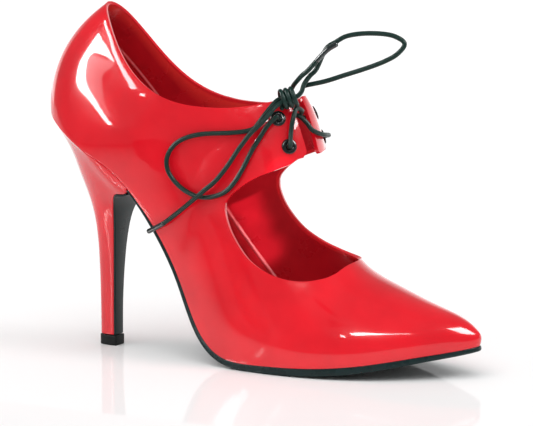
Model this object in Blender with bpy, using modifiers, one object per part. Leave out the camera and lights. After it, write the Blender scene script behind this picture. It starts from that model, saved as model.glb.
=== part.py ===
"""Right shoe of a pair of patent tie pumps with a stiletto heel.

The upper is a hollow lasted shell, cut open at the collar, at the oval cut-out over the instep and between the two
flaps of the tie strap. It stands on a thin outsole and on a covered heel with a black breast and a top piece.
Lengths below are millimetres in the last's own frame: x runs from the middle of the heel tip to the toe, y to the
inner side of the foot, z up from the floor. Meshes are made in metres around the middle of the shoe's footprint.
"""

import math

import bmesh
import bpy
import numpy as np
from mathutils import Matrix, Vector

MM = 0.001

# Driving sizes
LENGTH = 228.4
BALL_WIDTH = 72.4
HEEL_HEIGHT = 121.7
WALL = 1.8
GAP = 0.3
INSOLE_THICK = 1.5
LACE_DIAMETER = 2.3
ORIGIN_X = 82.19
ORIGIN_Y = -0.28

# The sizes that the table of sections is drawn for; another size is graded from them
PATTERN_LENGTH = 228.4
PATTERN_BALL_WIDTH = 72.4
PATTERN_HEEL_HEIGHT = 121.7

# A row for each rib of the last, from the back of the heel to the toe. A rib rises from the feather edge (base),
# bends towards its corner and closes on the crown: the ridge of the foot, or the line above the ankle opening.
# full is the exponent of its superellipse, mid and ridge move base and crown to the inner side, sole is the thickness.
SECTION_COLUMNS = (
    "base_x", "base_z", "base_half", "corner_x", "corner_z", "corner_half",
    "crown_x", "crown_z", "crown_half", "full", "mid", "ridge", "sole",
)
SECTIONS = (
    (-32.2, 121.7, 0.0, -36.9, 162.8, 0.0, 7.1, 178.6, 0.0, 2.10, 0.0, 0.0, 1.3),
    (-28.8, 119.2, 12.6, -31.1, 160.8, 12.4, 11.9, 173.2, 9.4, 2.10, 0.0, 0.0, 1.3),
    (-18.2, 111.4, 21.3, -14.7, 146.9, 25.5, 26.0, 160.6, 15.7, 2.08, 0.0, 0.3, 1.3),
    (-3.0, 101.3, 25.2, 14.0, 131.0, 32.5, 54.0, 146.0, 19.5, 2.10, 0.0, 1.0, 1.3),
    (11.5, 92.4, 24.6, 52.0, 126.0, 37.0, 86.0, 138.0, 15.0, 2.15, 0.0, 2.4, 1.3),
    (24.0, 79.2, 21.8, 92.0, 128.5, 40.0, 103.5, 130.5, 0.0, 2.20, -0.3, 3.4, 1.6),
    (36.0, 63.0, 20.6, 108.0, 110.0, 43.5, 112.5, 109.0, 0.0, 2.25, -0.6, 3.6, 2.3),
    (49.0, 41.0, 21.6, 115.0, 90.5, 46.0, 117.0, 89.5, 0.0, 2.30, -0.8, 3.4, 2.6),
    (62.0, 16.6, 25.6, 121.5, 72.0, 47.0, 122.0, 71.0, 0.0, 2.30, -0.9, 3.0, 2.8),
    (77.0, 5.2, 30.4, 127.5, 58.0, 46.8, 127.3, 57.3, 0.0, 2.30, -1.0, 2.6, 3.0),
    (98.0, 3.7, 34.6, 136.5, 47.9, 44.8, 136.5, 47.8, 0.0, 2.25, -1.0, 2.4, 3.4),
    (124.0, 4.6, 36.2, 150.5, 41.2, 40.5, 150.5, 41.2, 0.0, 2.15, -0.6, 2.3, 3.6),
    (150.0, 7.2, 32.0, 167.5, 34.5, 33.4, 167.5, 34.5, 0.0, 2.05, 0.3, 2.2, 3.4),
    (172.0, 10.9, 22.0, 182.0, 29.5, 22.8, 182.0, 29.5, 0.0, 2.00, 1.2, 2.2, 2.8),
    (188.0, 13.4, 10.8, 192.0, 24.5, 11.2, 192.0, 24.5, 0.0, 2.00, 1.9, 2.2, 2.4),
    (196.2, 14.9, 0.0, 198.0, 19.8, 0.0, 196.2, 20.8, 0.0, 2.00, 2.2, 2.2, 2.3),
)
HALF_COLUMNS = ("base_half", "corner_half", "crown_half")
FIRST_RIDGE_ROW = 5
RIDGE_ROUNDING = 0.2
OPEN_CROWN = 10.0

# Collar edge in side view, from the back of the heel to the top of the flaps
COLLAR_COLUMNS = ("x", "z")
COLLAR = (
    (-8.0, 179.0), (-1.5, 174.5), (7.0, 163.2), (18.0, 147.6), (34.0, 133.0),
    (50.0, 126.4), (66.0, 124.4), (82.0, 124.9), (98.0, 128.2), (110.0, 130.5),
)

# Edge of the cut-out in side view: down from its back end, along the vamp to the throat, round in front of the foot,
# and back along the lower edge of the strap. On the inner side it lies higher and further forward by these slopes.
CUT_OUT = (
    (78.2, 79.6), (79.4, 72.4), (83.6, 64.2), (91.2, 55.5), (101.0, 49.6), (110.5, 46.6),
    (118.5, 45.6), (125.8, 46.2), (130.2, 47.6), (133.0, 51.2), (142.0, 70.0), (142.0, 103.0),
    (113.0, 101.8), (107.0, 98.8), (100.0, 95.9), (93.0, 92.9), (86.2, 88.8), (80.8, 84.2),
)
CUT_OUT_RISE = 0.05
CUT_OUT_RISE_INNER = 0.19
CUT_OUT_ADVANCE = 0.04

# Tie strap: the flaps stop on both sides of a gap a little to the outer side of the ridge
FLAP_GAP = 8.0
FLAP_GAP_Y = -3.8
FLAP_X = (90.0, 130.0)
FLAP_Z = (102.0, 129.6)
FLAP_CORNER = 2.2
EYELET_PLACE_COLUMNS = ("name", "side", "y", "z")
EYELET_PLACES = (
    ("eyelet_outer_lower", -1, -14.4, 106.5),
    ("eyelet_outer_upper", -1, -13.9, 119.5),
    ("eyelet_inner_lower", 1, 16.0, 109.0),
    ("eyelet_inner_upper", 1, 15.0, 120.5),
)
EYELET_FLANGE_RADIUS = 3.7
EYELET_BARREL_RADIUS = 2.3
EYELET_BORE_RADIUS = 1.75
EYELET_FLANGE_THICK = 0.7
EYELET_HOLE_RADIUS = 2.65

# Outsole: its tread lies flat on the floor between these places, and its edge stands out at the forefoot
BREAST_X = 21.5
SEAT_FRONT_X = 20.6
TREAD_X = (85.0, 117.0)
SOLE_EDGE_OUT = 0.3
SOLE_EDGE_IN = 0.7
SOLE_EDGE_TURN_X = (50.0, 80.0)

# A row for each section of the heel, from the tip up: back and front point on the middle plane, half width at the
# breast, how far the middle of the section arches above the line from back to front, and how far its outline has
# turned from the half round of the tip into the outline of the seat
HEEL_COLUMNS = ("back_x", "back_z", "front_x", "front_z", "half", "arch", "seat")
HEEL = (
    (-7.6, 5.5, 1.6, 5.5, 3.9, 0.0, 0.0),
    (-7.7, 20.0, 1.7, 20.0, 4.0, 0.0, 0.0),
    (-8.0, 38.0, 2.3, 38.0, 4.7, 0.0, 0.0),
    (-9.0, 57.0, 3.5, 56.5, 6.5, 0.0, 0.1),
    (-12.0, 74.0, 5.5, 70.0, 10.0, 0.3, 0.3),
    (-16.7, 89.0, 8.2, 76.3, 14.6, 1.6, 0.6),
    (-21.8, 103.2, 12.6, 79.4, 18.4, 3.2, 0.85),
    (-28.0, 113.8, 18.9, 80.4, 21.2, 3.4, 1.0),
)
HEEL_RING_HALF = 12
BREAST_THICK = 0.9
TOP_PIECE_HEIGHT = 5.2
TOP_PIECE_OUT = 0.35

# The lace, in places chosen along its run. Its two halves leave the lower eyelets, meet in the gap between the flaps
# and go up into the upper eyelets from below; the bow is tied over the gap.
EYELET_INTO = 0.8
EYELET_OVER = 2.0
EYELET_UNDER = 5.0
OUTER_HALF = (
    (106.0, -14.3, 113.5), (106.6, -13.2, 119.5), (106.7, -10.0, 124.3), (107.0, -6.2, 122.8),
    (106.0, -4.0, 121.8), (104.4, -1.0, 120.7), (102.6, 3.0, 119.6), (101.8, 6.5, 118.9),
)
INNER_HALF = (
    (113.1, 13.6, 110.1), (113.9, 9.2, 110.6), (113.9, 4.0, 111.2), (111.6, -2.0, 113.6), (109.2, -3.4, 118.0),
    (106.0, -4.0, 121.8), (101.0, -6.0, 121.3), (97.0, -8.6, 119.2),
)
KNOT_CENTRE = (103.5, -13.0, 129.3)
KNOT_AXIS = (0.86, 0.45, 0.25)
KNOT_RADIUS = 4.1
KNOT_DEPTH = 2.95
KNOT_PITCH = 2.6
KNOT_TURNS = 2.2
LOOP_LEFT = (
    (102.9, -13.0, 129.3), (100.1, -13.5, 128.9), (98.6, -15.0, 127.9), (97.1, -17.2, 125.5),
    (94.7, -19.4, 121.7), (92.3, -20.7, 118.0), (90.0, -21.5, 115.1), (85.8, -22.7, 113.6),
    (78.0, -24.5, 112.7), (64.7, -26.2, 111.8), (55.8, -27.7, 109.5), (49.9, -28.4, 105.5),
    (46.5, -28.4, 99.7), (46.6, -27.9, 94.0), (49.7, -27.3, 88.9), (55.4, -27.2, 84.4), (63.0, -27.8, 81.8),
    (70.5, -28.3, 82.0), (77.7, -28.2, 84.7), (82.6, -27.5, 89.7), (86.2, -26.2, 96.0), (89.9, -24.0, 104.5),
    (92.2, -22.2, 109.0), (95.8, -20.2, 115.6), (98.9, -18.6, 119.5), (101.1, -17.6, 121.3),
)
END_LEFT = (
    (99.4, -18.8, 125.0), (98.1, -21.2, 122.4), (95.5, -23.4, 118.6), (93.1, -24.6, 116.0),
    (89.7, -26.0, 112.3), (84.1, -26.9, 104.9), (79.1, -28.2, 97.2), (73.7, -29.8, 90.2), (68.0, -31.1, 85.2),
    (61.6, -30.4, 80.2), (50.3, -26.9, 72.4), (42.0, -25.1, 67.0), (32.7, -22.6, 62.5),
)
LOOP_RIGHT = (
    (104.3, -13.0, 129.4), (108.3, -12.7, 130.3), (110.5, -12.2, 132.6), (111.4, -11.0, 136.3),
    (113.7, -9.6, 140.0), (116.6, -8.6, 143.3), (121.7, -9.0, 152.8), (126.4, -8.0, 156.2),
    (131.6, -7.0, 159.0), (139.9, -6.0, 160.3), (149.1, -5.0, 160.2), (155.4, -4.5, 158.9),
    (159.8, -4.5, 155.7), (156.0, -4.5, 150.8), (149.2, -5.0, 147.1), (139.7, -5.5, 143.6),
    (130.2, -6.0, 140.6), (120.9, -7.0, 137.6), (111.9, -7.4, 135.6), (109.1, -7.6, 134.9),
)
END_RIGHT = (
    (102.4, -6.2, 133.0), (104.6, -8.4, 135.3), (107.6, -10.8, 137.6), (110.8, -12.2, 140.3),
    (114.4, -12.6, 143.1), (122.6, -11.4, 151.8), (128.0, -10.6, 155.4),
)
CORD_STEP = 2.2

RIB_COLUMNS = 96
RIB_STEPS = 16

RED = (0.60, 0.012, 0.022, 1.0)
INSOLE_RED = (0.42, 0.010, 0.016, 1.0)
BLACK = (0.012, 0.013, 0.014, 1.0)


def cubic_spline(knots, values, closed=False):
    """Cubic spline through values at knots, as a function of the knot value; a closed one ends as it begins."""
    values = np.asarray(values, float)
    steps = np.diff(knots)
    last = len(knots) - 1
    system = np.eye(last + 1)
    right = np.zeros_like(values)
    slopes = np.diff(values, axis=0) / (steps[:, None] if values.ndim > 1 else steps)
    for i in range(1, last):
        system[i, i - 1:i + 2] = steps[i - 1], 2 * (steps[i - 1] + steps[i]), steps[i]
        right[i] = 6 * (slopes[i] - slopes[i - 1])
    if closed:
        system[0, [0, 1, last - 1, last]] = 2 * steps[0], steps[0], steps[-1], 2 * steps[-1]
        right[0] = 6 * (slopes[0] - slopes[-1])
        system[last, 0] = -1.0
    bend = np.linalg.solve(system, right)

    def at(place):
        i = int(np.clip(np.searchsorted(knots, place) - 1, 0, last - 1))
        before, after, step = knots[i + 1] - place, place - knots[i], steps[i]
        curve = (bend[i] * before**3 + bend[i + 1] * after**3) / (6 * step)
        line = (values[i] / step - bend[i] * step / 6) * before + (values[i + 1] / step - bend[i + 1] * step / 6) * after
        return curve + line

    return at


def closed_curve(points, steps):
    """Smooth closed curve through points, steps places for each."""
    points = np.asarray(points, float)
    before, after, far = np.roll(points, 1, 0), np.roll(points, -1, 0), np.roll(points, -2, 0)
    curve = []
    for p0, p1, p2, p3 in zip(before, points, after, far):
        for u in np.arange(steps) / steps:
            bend = (2 * p0 - 5 * p1 + 4 * p2 - p3) * u**2 + (3 * p1 - p0 - 3 * p2 + p3) * u**3
            curve.append(0.5 * (2 * p1 + (p2 - p0) * u + bend))
    return np.array(curve)


class Last:
    """The last: ribs around the foot, at t from -1 (toe) over the outer side to 0 (heel) and the inner side to 1."""

    def __init__(self):
        rows = np.array(SECTIONS)
        grades = {"x": LENGTH / PATTERN_LENGTH, "f": BALL_WIDTH / PATTERN_BALL_WIDTH, "z": HEEL_HEIGHT / PATTERN_HEEL_HEIGHT}
        for column, name in enumerate(SECTION_COLUMNS[:9]):
            rows[:, column] *= grades[name[-1]]
        halves = [SECTION_COLUMNS.index(name) for name in HALF_COLUMNS]
        outer = rows[:0:-1].copy()
        outer[:, halves] *= -1
        loop = np.vstack([outer, rows])
        feather = loop[:, [0, 2, 1]]
        strides = np.sqrt(np.linalg.norm(np.diff(feather, axis=0), axis=1))
        knots = np.concatenate([[0.0], np.cumsum(strides)])
        knots = knots / knots[-1] * 2 - 1
        self.at = cubic_spline(knots, loop, closed=True)
        self.ridge_from = knots[len(rows) - 1 + FIRST_RIDGE_ROW]

    def row(self, t):
        row = dict(zip(SECTION_COLUMNS, self.at(t)))
        if abs(t) >= self.ridge_from:
            row["crown_half"] = 0.0
        return row

    def feather(self, t):
        """Point of the feather edge."""
        row = self.row(t)
        return np.array([row["base_x"], row["mid"] + row["base_half"], row["base_z"]])

    def surface(self, t, turn):
        """Point of the outer face of the upper, at turn from 0 at the feather edge to 1 on the crown."""
        row = self.row(t)
        base = self.feather(t)
        corner = np.array([row["corner_x"], row["ridge"] + row["corner_half"], row["corner_z"]])
        crown = np.array([row["crown_x"], row["ridge"] + row["crown_half"], row["crown_z"]])
        angle = min(max(turn, 0.0), 1.0) * math.pi / 2
        rise = math.sin(angle) ** (2 / row["full"])
        close = max(math.cos(angle), 0.0) ** (2 / row["full"])
        rounding = RIDGE_ROUNDING * min(max(1 - abs(row["crown_half"]) / OPEN_CROWN, 0.0), 1.0)
        soft = (math.hypot(close, rounding) - rounding) / (math.hypot(1.0, rounding) - rounding)
        return corner + (base - corner) * (1 - rise) + (crown - corner) * (1 - np.array([soft, close, soft]))

    def normal(self, t, turn, step=1e-3):
        """Unit normal of the outer face, away from the foot."""
        along = self.surface(t + step, turn) - self.surface(t - step, turn)
        up = self.surface(t, turn + step) - self.surface(t, turn - step)
        normal = np.cross(up, along)
        return normal / np.linalg.norm(normal)

    def find(self, side, y, z):
        """The place (t, turn) on one side of the strap where the outer face has this y and z."""
        place = np.array([side * 0.5 * (self.ridge_from + 0.45), 0.8])
        step = 1e-4
        for _ in range(40):
            here = self.surface(*place)[1:]
            slope = np.column_stack([
                (self.surface(place[0] + step, place[1])[1:] - here) / step,
                (self.surface(place[0], place[1] + step)[1:] - here) / step,
            ])
            move = np.linalg.solve(slope, np.array([y, z]) - here)
            place = place + np.clip(move, -0.03, 0.03)
            place[1] = min(place[1], 0.985)
        return place

    def inward(self, t, step=1e-3):
        """Unit direction in plan from the feather edge towards the inside of the foot."""
        tangent = self.feather(min(t + step, 1.0)) - self.feather(max(t - step, -1.0))
        inward = np.array([tangent[1], -tangent[0], 0.0])
        return inward / np.linalg.norm(inward)

    def bottom(self, t, inset, step=1e-3):
        """Point of the bottom of the last this far inside the feather edge, and the bottom's normal there."""
        point = self.feather(t) + self.inward(t) * inset
        place = self.t_at_x(point[0])
        point[2] = self.row(place)["base_z"]
        tangent = self.feather(min(place + step, 1.0)) - self.feather(max(place - step, 0.0))
        normal = np.array([-tangent[2], 0.0, tangent[0]])
        return point, normal / np.linalg.norm(normal)

    def t_at_x(self, x):
        """Place on the inner side where the feather edge is at x."""
        low, high = 0.0, 1.0
        for _ in range(50):
            middle = (low + high) / 2
            low, high = (middle, high) if self.row(middle)["base_x"] < x else (low, middle)
        return low


def material(name, colour, roughness, metallic=0.0):
    made = bpy.data.materials.new(name)
    made.use_nodes = True
    shader = made.node_tree.nodes["Principled BSDF"]
    shader.inputs["Base Color"].default_value = colour
    shader.inputs["Roughness"].default_value = roughness
    shader.inputs["Metallic"].default_value = metallic
    return made


class Shoe:
    """The scene's collections, materials and parent empty."""

    def __init__(self):
        for obj in list(bpy.data.objects):
            bpy.data.objects.remove(obj, do_unlink=True)
        self.parts = bpy.data.collections.new("stiletto_pump")
        self.cutters = bpy.data.collections.new("stiletto_pump_cutters")
        for collection in (self.parts, self.cutters):
            bpy.context.scene.collection.children.link(collection)
        self.root = bpy.data.objects.new("stiletto_pump_root", None)
        self.root.location = (-ORIGIN_X * MM, -ORIGIN_Y * MM, 0.0)
        self.parts.objects.link(self.root)
        self.red = material("patent_red", RED, 0.06)
        self.lining = material("insole_red", INSOLE_RED, 0.5)
        self.black = material("sole_black", BLACK, 0.35)
        self.cord = material("waxed_cord_black", BLACK, 0.45)
        self.metal = material("eyelet_black", BLACK, 0.3, 0.6)

    def part(self, name, data, finish):
        obj = bpy.data.objects.new(name, data)
        data.materials.append(finish)
        obj.parent = self.root
        self.parts.objects.link(obj)
        return obj

    def cutter(self, name, mesh):
        obj = bpy.data.objects.new(name, mesh)
        obj.parent = self.root
        obj.hide_render = True
        obj.display_type = "WIRE"
        self.cutters.objects.link(obj)
        return obj


def to_mesh(name, bm, smooth=True):
    """Mesh of a bmesh made in millimetres, with its faces turned outwards."""
    bmesh.ops.recalc_face_normals(bm, faces=bm.faces[:])
    bmesh.ops.scale(bm, vec=(MM, MM, MM), verts=bm.verts[:])
    mesh = bpy.data.meshes.new(name)
    bm.to_mesh(mesh)
    bm.free()
    if smooth:
        mesh.shade_smooth()
        mesh.set_sharp_from_angle(angle=math.radians(40))
    return mesh


def loft(name, rings):
    """Closed solid through rings of equally many points, each ring symmetric in its order: point i faces the last but i."""
    bm = bmesh.new()
    made = [[bm.verts.new(Vector(point)) for point in ring] for ring in rings]
    count = len(rings[0])
    for ring, following in zip(made, made[1:]):
        for i in range(count):
            j = (i + 1) % count
            bm.faces.new((ring[i], ring[j], following[j], following[i]))
    for ring in (made[0], made[-1]):
        for i in range(count // 2):
            corners = [ring[i], ring[i + 1], ring[count - 2 - i], ring[count - 1 - i]]
            corners = list(dict.fromkeys(corners))
            if len(corners) > 2:
                bm.faces.new(corners)
    return to_mesh(name, bm)


def cut(obj, cutter):
    modifier = obj.modifiers.new("cut_" + cutter.name, "BOOLEAN")
    modifier.operation = "DIFFERENCE"
    modifier.object = cutter


def stand(point, normal):
    """Matrix in metres that puts a turned piece's foot on point, with its axis along normal."""
    turn = Vector((0.0, 0.0, 1.0)).rotation_difference(Vector(normal))
    return Matrix.Translation(Vector(point) * MM) @ turn.to_matrix().to_4x4()


def eyelet_places(last):
    """Node name, point and normal on the outer face for each eyelet of the two flaps."""
    places = []
    for values in EYELET_PLACES:
        row = dict(zip(EYELET_PLACE_COLUMNS, values))
        t, turn = last.find(row["side"], row["y"], row["z"])
        places.append((row["name"], last.surface(t, turn), last.normal(t, turn)))
    return places


def flap_gap_mesh():
    """Cutter between the flaps: a slot along x that widens at its upper and lower end, to round the flaps' corners."""
    low, high = FLAP_Z
    heights = [low - 6.0] + list(np.linspace(low, low + FLAP_CORNER, 6))
    heights += list(np.linspace(high - FLAP_CORNER, high, 6)) + [high + 10.0]
    halves = []
    for z in heights:
        past = min(max(low + FLAP_CORNER - z, z - high + FLAP_CORNER, 0.0), FLAP_CORNER)
        halves.append(FLAP_GAP / 2 + FLAP_CORNER - math.sqrt(FLAP_CORNER**2 - past**2))
    outline = [(FLAP_GAP_Y - half, z) for half, z in zip(halves, heights)]
    outline += [(FLAP_GAP_Y + half, z) for half, z in zip(halves[::-1], heights[::-1])]
    return loft("flap_gap", [[(x, y, z) for y, z in outline] for x in FLAP_X])


class Edges:
    """How far a point of the upper lies inside its cut edges; below zero it is cut away."""

    def __init__(self):
        self.collar = cubic_spline(np.array(COLLAR)[:, 0], np.array(COLLAR)[:, 1])
        self.oval = closed_curve(CUT_OUT, 6)

    def from_oval(self, point):
        x = point[0] - CUT_OUT_ADVANCE * point[1]
        z = point[2] - (CUT_OUT_RISE_INNER if point[1] > 0 else CUT_OUT_RISE) * point[1]
        start, end = self.oval, np.roll(self.oval, -1, 0)
        along = end - start
        share = np.clip(((np.array([x, z]) - start) * along).sum(1) / (along**2).sum(1), 0, 1)
        distance = np.linalg.norm(start + along * share[:, None] - np.array([x, z]), axis=1).min()
        crossed = (start[:, 1] > z) != (end[:, 1] > z)
        crossing_x = start[crossed, 0] + (z - start[crossed, 1]) / along[crossed, 1] * along[crossed, 0]
        inside = (crossing_x > x).sum() % 2 == 1
        return -distance if inside else distance

    def at(self, point):
        x = min(max(point[0], COLLAR[0][0]), COLLAR[-1][0])
        return min(self.collar(x) - point[2], self.from_oval(point))


def edge_crossing(last, edges, inside, outside):
    """Place between two places of the upper where its edge runs, and the share of the way."""
    low, high = 0.0, 1.0
    for _ in range(18):
        middle = (low + high) / 2
        kept = edges.at(last.surface(*(inside + (outside - inside) * middle))) > 0
        low, high = (middle, high) if kept else (low, middle)
    return inside + (outside - inside) * low, low


def trim(bm, last, edges):
    """Moves the nearest grid points onto the cut edges and takes away what lies beyond them."""
    places = {vert: np.array([vert.co.x, (vert.co.y + 1) / 2]) for vert in bm.verts}
    inside = {vert: edges.at(last.surface(*place)) for vert, place in places.items()}
    moves = {}
    for edge in bm.edges:
        kept, cut_away = sorted(edge.verts, key=lambda vert: -inside[vert])
        if inside[kept] <= 0 or inside[cut_away] > 0:
            continue
        place, share = edge_crossing(last, edges, places[kept], places[cut_away])
        vert, move = (kept, share) if share < 0.5 else (cut_away, 1 - share)
        if vert not in moves or move < moves[vert][1]:
            moves[vert] = (place, move)
    for vert, (place, _) in moves.items():
        places[vert] = place
        inside[vert] = 0.0
    for face in list(bm.faces):
        left = [vert for vert in face.verts if inside[vert] >= 0]
        if len(left) == len(face.verts) and max(inside[vert] for vert in left) > 0:
            continue
        whole = len(left) > 2 and max(inside[vert] for vert in left) > 0
        bm.faces.remove(face)
        if whole:
            bm.faces.new(left)
    for vert in list(bm.verts):
        if not vert.link_faces:
            bm.verts.remove(vert)
    for edge in list(bm.edges):
        if not edge.link_faces:
            bm.edges.remove(edge)
    for vert in bm.verts:
        vert.co = Vector(last.surface(*places[vert]))


def make_upper(shoe, last):
    bm = bmesh.new()
    bmesh.ops.create_grid(bm, x_segments=RIB_COLUMNS, y_segments=RIB_STEPS, size=1.0)
    trim(bm, last, Edges())
    bmesh.ops.remove_doubles(bm, verts=bm.verts[:], dist=0.01)
    upper = shoe.part("upper", to_mesh("upper", bm), shoe.red)
    wall = upper.modifiers.new("wall", "SOLIDIFY")
    wall.thickness = WALL * MM
    wall.offset = -1.0
    wall.use_quality_normals = True
    cut(upper, shoe.cutter("flap_gap", flap_gap_mesh()))
    for name, point, normal in eyelet_places(last):
        bm = bmesh.new()
        bmesh.ops.create_cone(
            bm, cap_ends=True, segments=16, radius1=EYELET_HOLE_RADIUS, radius2=EYELET_HOLE_RADIUS, depth=8.0
        )
        hole = shoe.cutter(name + "_hole", to_mesh(name + "_hole", bm, smooth=False))
        hole.matrix_local = stand(point, normal)
        cut(upper, hole)


def make_eyelets(shoe, last):
    """Turned rings: a rounded flange on the outer face and a barrel through the wall."""
    top = GAP + EYELET_FLANGE_THICK
    middle = (EYELET_FLANGE_RADIUS + EYELET_BORE_RADIUS) / 2
    profile = (
        (EYELET_BORE_RADIUS, top * 0.8), (middle, top), (EYELET_FLANGE_RADIUS, GAP + 0.25),
        (EYELET_FLANGE_RADIUS, GAP), (EYELET_BARREL_RADIUS, GAP), (EYELET_BARREL_RADIUS, -WALL - GAP),
        (EYELET_BORE_RADIUS, -WALL - GAP),
    )
    mesh = bpy.data.meshes.new("eyelet")
    edges = [(i, (i + 1) % len(profile)) for i in range(len(profile))]
    mesh.from_pydata([(r * MM, 0.0, z * MM) for r, z in profile], edges, [])
    for name, point, normal in eyelet_places(last):
        eyelet = shoe.part(name, mesh.copy(), shoe.metal)
        eyelet.matrix_local = stand(point, normal)
        turn = eyelet.modifiers.new("turn", "SCREW")
        turn.steps = turn.render_steps = 16
        turn.use_merge_vertices = True
        turn.merge_threshold = 1e-6


def sole_edge(x):
    """How far the outsole's edge stands outside the feather edge at x."""
    share = min(max((x - SOLE_EDGE_TURN_X[0]) / (SOLE_EDGE_TURN_X[1] - SOLE_EDGE_TURN_X[0]), 0.0), 1.0)
    return -SOLE_EDGE_IN + (SOLE_EDGE_IN + SOLE_EDGE_OUT) * share


def make_outsole(shoe, last):
    rings = []
    start = last.t_at_x(BREAST_X)
    for t in np.linspace(start, 0.993, 44):
        row = last.row(t)
        top, bottom = [], []
        for side in (-t, t):
            edge, up = last.bottom(side, -sole_edge(row["base_x"]))
            top.append(edge - up * GAP)
            tread = edge - up * (GAP + row["sole"])
            if TREAD_X[0] <= tread[0] <= TREAD_X[1]:
                tread[2] = 0.0
            tread[2] = max(tread[2], 0.0)
            bottom.append(tread)
        rings.append([top[0], bottom[0], bottom[1], top[1]])
    shoe.part("outsole", loft("outsole", rings), shoe.black)


def make_insole(shoe, last):
    rings = []
    for t in np.linspace(0.035, 0.975, 56):
        low, high = [], []
        for side in (-t, t):
            point, up = last.bottom(side, WALL + GAP + 0.2)
            low.append(point)
            high.append(point + up * INSOLE_THICK)
        rings.append([high[0], low[0], low[1], high[1]])
    shoe.part("insole", loft("insole", rings), shoe.lining)


def heel_rings(last):
    """Rings from the tip to the seat. Each runs from the outer breast corner round the back to the inner one."""
    steps = np.arange(-HEEL_RING_HALF, HEEL_RING_HALF + 1) / HEEL_RING_HALF
    front = last.t_at_x(SEAT_FRONT_X)
    seat = [last.bottom(front * step, 0.0) for step in steps]
    edge = np.array([point for point, _ in seat])
    edge_share = (edge[:, 0] - edge[:, 0].min()) / (edge[:, 0].max() - edge[:, 0].min())
    edge_wide = edge[:, 1] / edge[-1, 1]
    edge_wide[:HEEL_RING_HALF] = -edge_wide[:HEEL_RING_HALF:-1]
    round_share = 1 - np.cos(steps * math.pi / 2)
    round_wide = np.sin(steps * math.pi / 2)
    rings = []
    for values in HEEL:
        row = dict(zip(HEEL_COLUMNS, values))
        share = round_share + (edge_share - round_share) * row["seat"]
        wide = round_wide + (edge_wide - round_wide) * row["seat"]
        x = row["back_x"] + (row["front_x"] - row["back_x"]) * share
        z = row["back_z"] + (row["front_z"] - row["back_z"]) * share + row["arch"] * np.sin(math.pi * share)
        rings.append(np.column_stack([x, row["half"] * wide, z]))
    rings.append([point - up * GAP for point, up in seat])
    return rings


def make_heel(shoe, last):
    shoe.part("heel", loft("heel", heel_rings(last)), shoe.red)


def make_breast(shoe, last):
    """Black strip on the front of the heel, from the top piece up to the outsole."""
    fronts = [(np.array(ring[0]), np.array(ring[-1])) for ring in heel_rings(last)[:-1]]
    rings = []
    for i, (outer, inner) in enumerate(fronts):
        ahead = fronts[min(i + 1, len(fronts) - 1)][1] - fronts[max(i - 1, 0)][1]
        out = np.array([ahead[2], 0.0, -ahead[0]])
        out = out / np.linalg.norm(out)
        near, far = out * GAP, out * (GAP + BREAST_THICK)
        rings.append([outer + near, outer + far, inner + far, inner + near])
    shoe.part("heel_breast", loft("heel_breast", rings), shoe.black)


def make_top_piece(shoe, last):
    tip = heel_rings(last)[0]
    rings = []
    for z in (0.0, TOP_PIECE_HEIGHT):
        ring = []
        for x, y, _ in tip:
            middle = np.array([(HEEL[0][0] + HEEL[0][2]) / 2, 0.0])
            out = np.array([x, y]) - middle
            out = middle + out * (1 + TOP_PIECE_OUT / HEEL[0][4])
            ahead = GAP + BREAST_THICK if x > middle[0] + 3.0 else 0.0
            ring.append((out[0] + ahead, out[1], z))
        rings.append(ring)
    shoe.part("top_piece", loft("top_piece", rings), shoe.black)


def open_curve(points, stride):
    """Smooth curve through points, with a place about every stride."""
    points = np.asarray(points, float)
    ends = np.vstack([2 * points[0] - points[1], points, 2 * points[-1] - points[-2]])
    fine = []
    for p0, p1, p2, p3 in zip(ends, ends[1:], ends[2:], ends[3:]):
        for u in np.arange(24) / 24:
            bend = (2 * p0 - 5 * p1 + 4 * p2 - p3) * u**2 + (3 * p1 - p0 - 3 * p2 + p3) * u**3
            fine.append(0.5 * (2 * p1 + (p2 - p0) * u + bend))
    fine = np.array(fine + [points[-1]])
    run = np.concatenate([[0.0], np.cumsum(np.linalg.norm(np.diff(fine, axis=0), axis=1))])
    places = np.linspace(0.0, run[-1], max(int(round(run[-1] / stride)), 4) + 1)
    return np.column_stack([np.interp(places, run, fine[:, axis]) for axis in range(3)])


def cord_curve(name, places):
    curve = bpy.data.curves.new(name, "CURVE")
    curve.dimensions = "3D"
    curve.bevel_depth = LACE_DIAMETER / 2 * MM
    curve.bevel_resolution = 2
    curve.use_fill_caps = True
    spline = curve.splines.new("POLY")
    spline.points.add(len(places) - 1)
    for point, place in zip(spline.points, places):
        point.co = (*(place * MM), 1.0)
    return curve


def cord_mesh(name, places):
    """Closed mesh of a cord, for joining."""
    guide = bpy.data.objects.new(name + "_guide", cord_curve(name + "_guide", places))
    mesh = bpy.data.meshes.new_from_object(guide)
    bpy.data.objects.remove(guide, do_unlink=True)
    bm = bmesh.new()
    bm.from_mesh(mesh)
    bmesh.ops.remove_doubles(bm, verts=bm.verts[:], dist=1e-6)
    bmesh.ops.recalc_face_normals(bm, faces=bm.faces[:])
    bm.to_mesh(mesh)
    bm.free()
    return mesh


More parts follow.
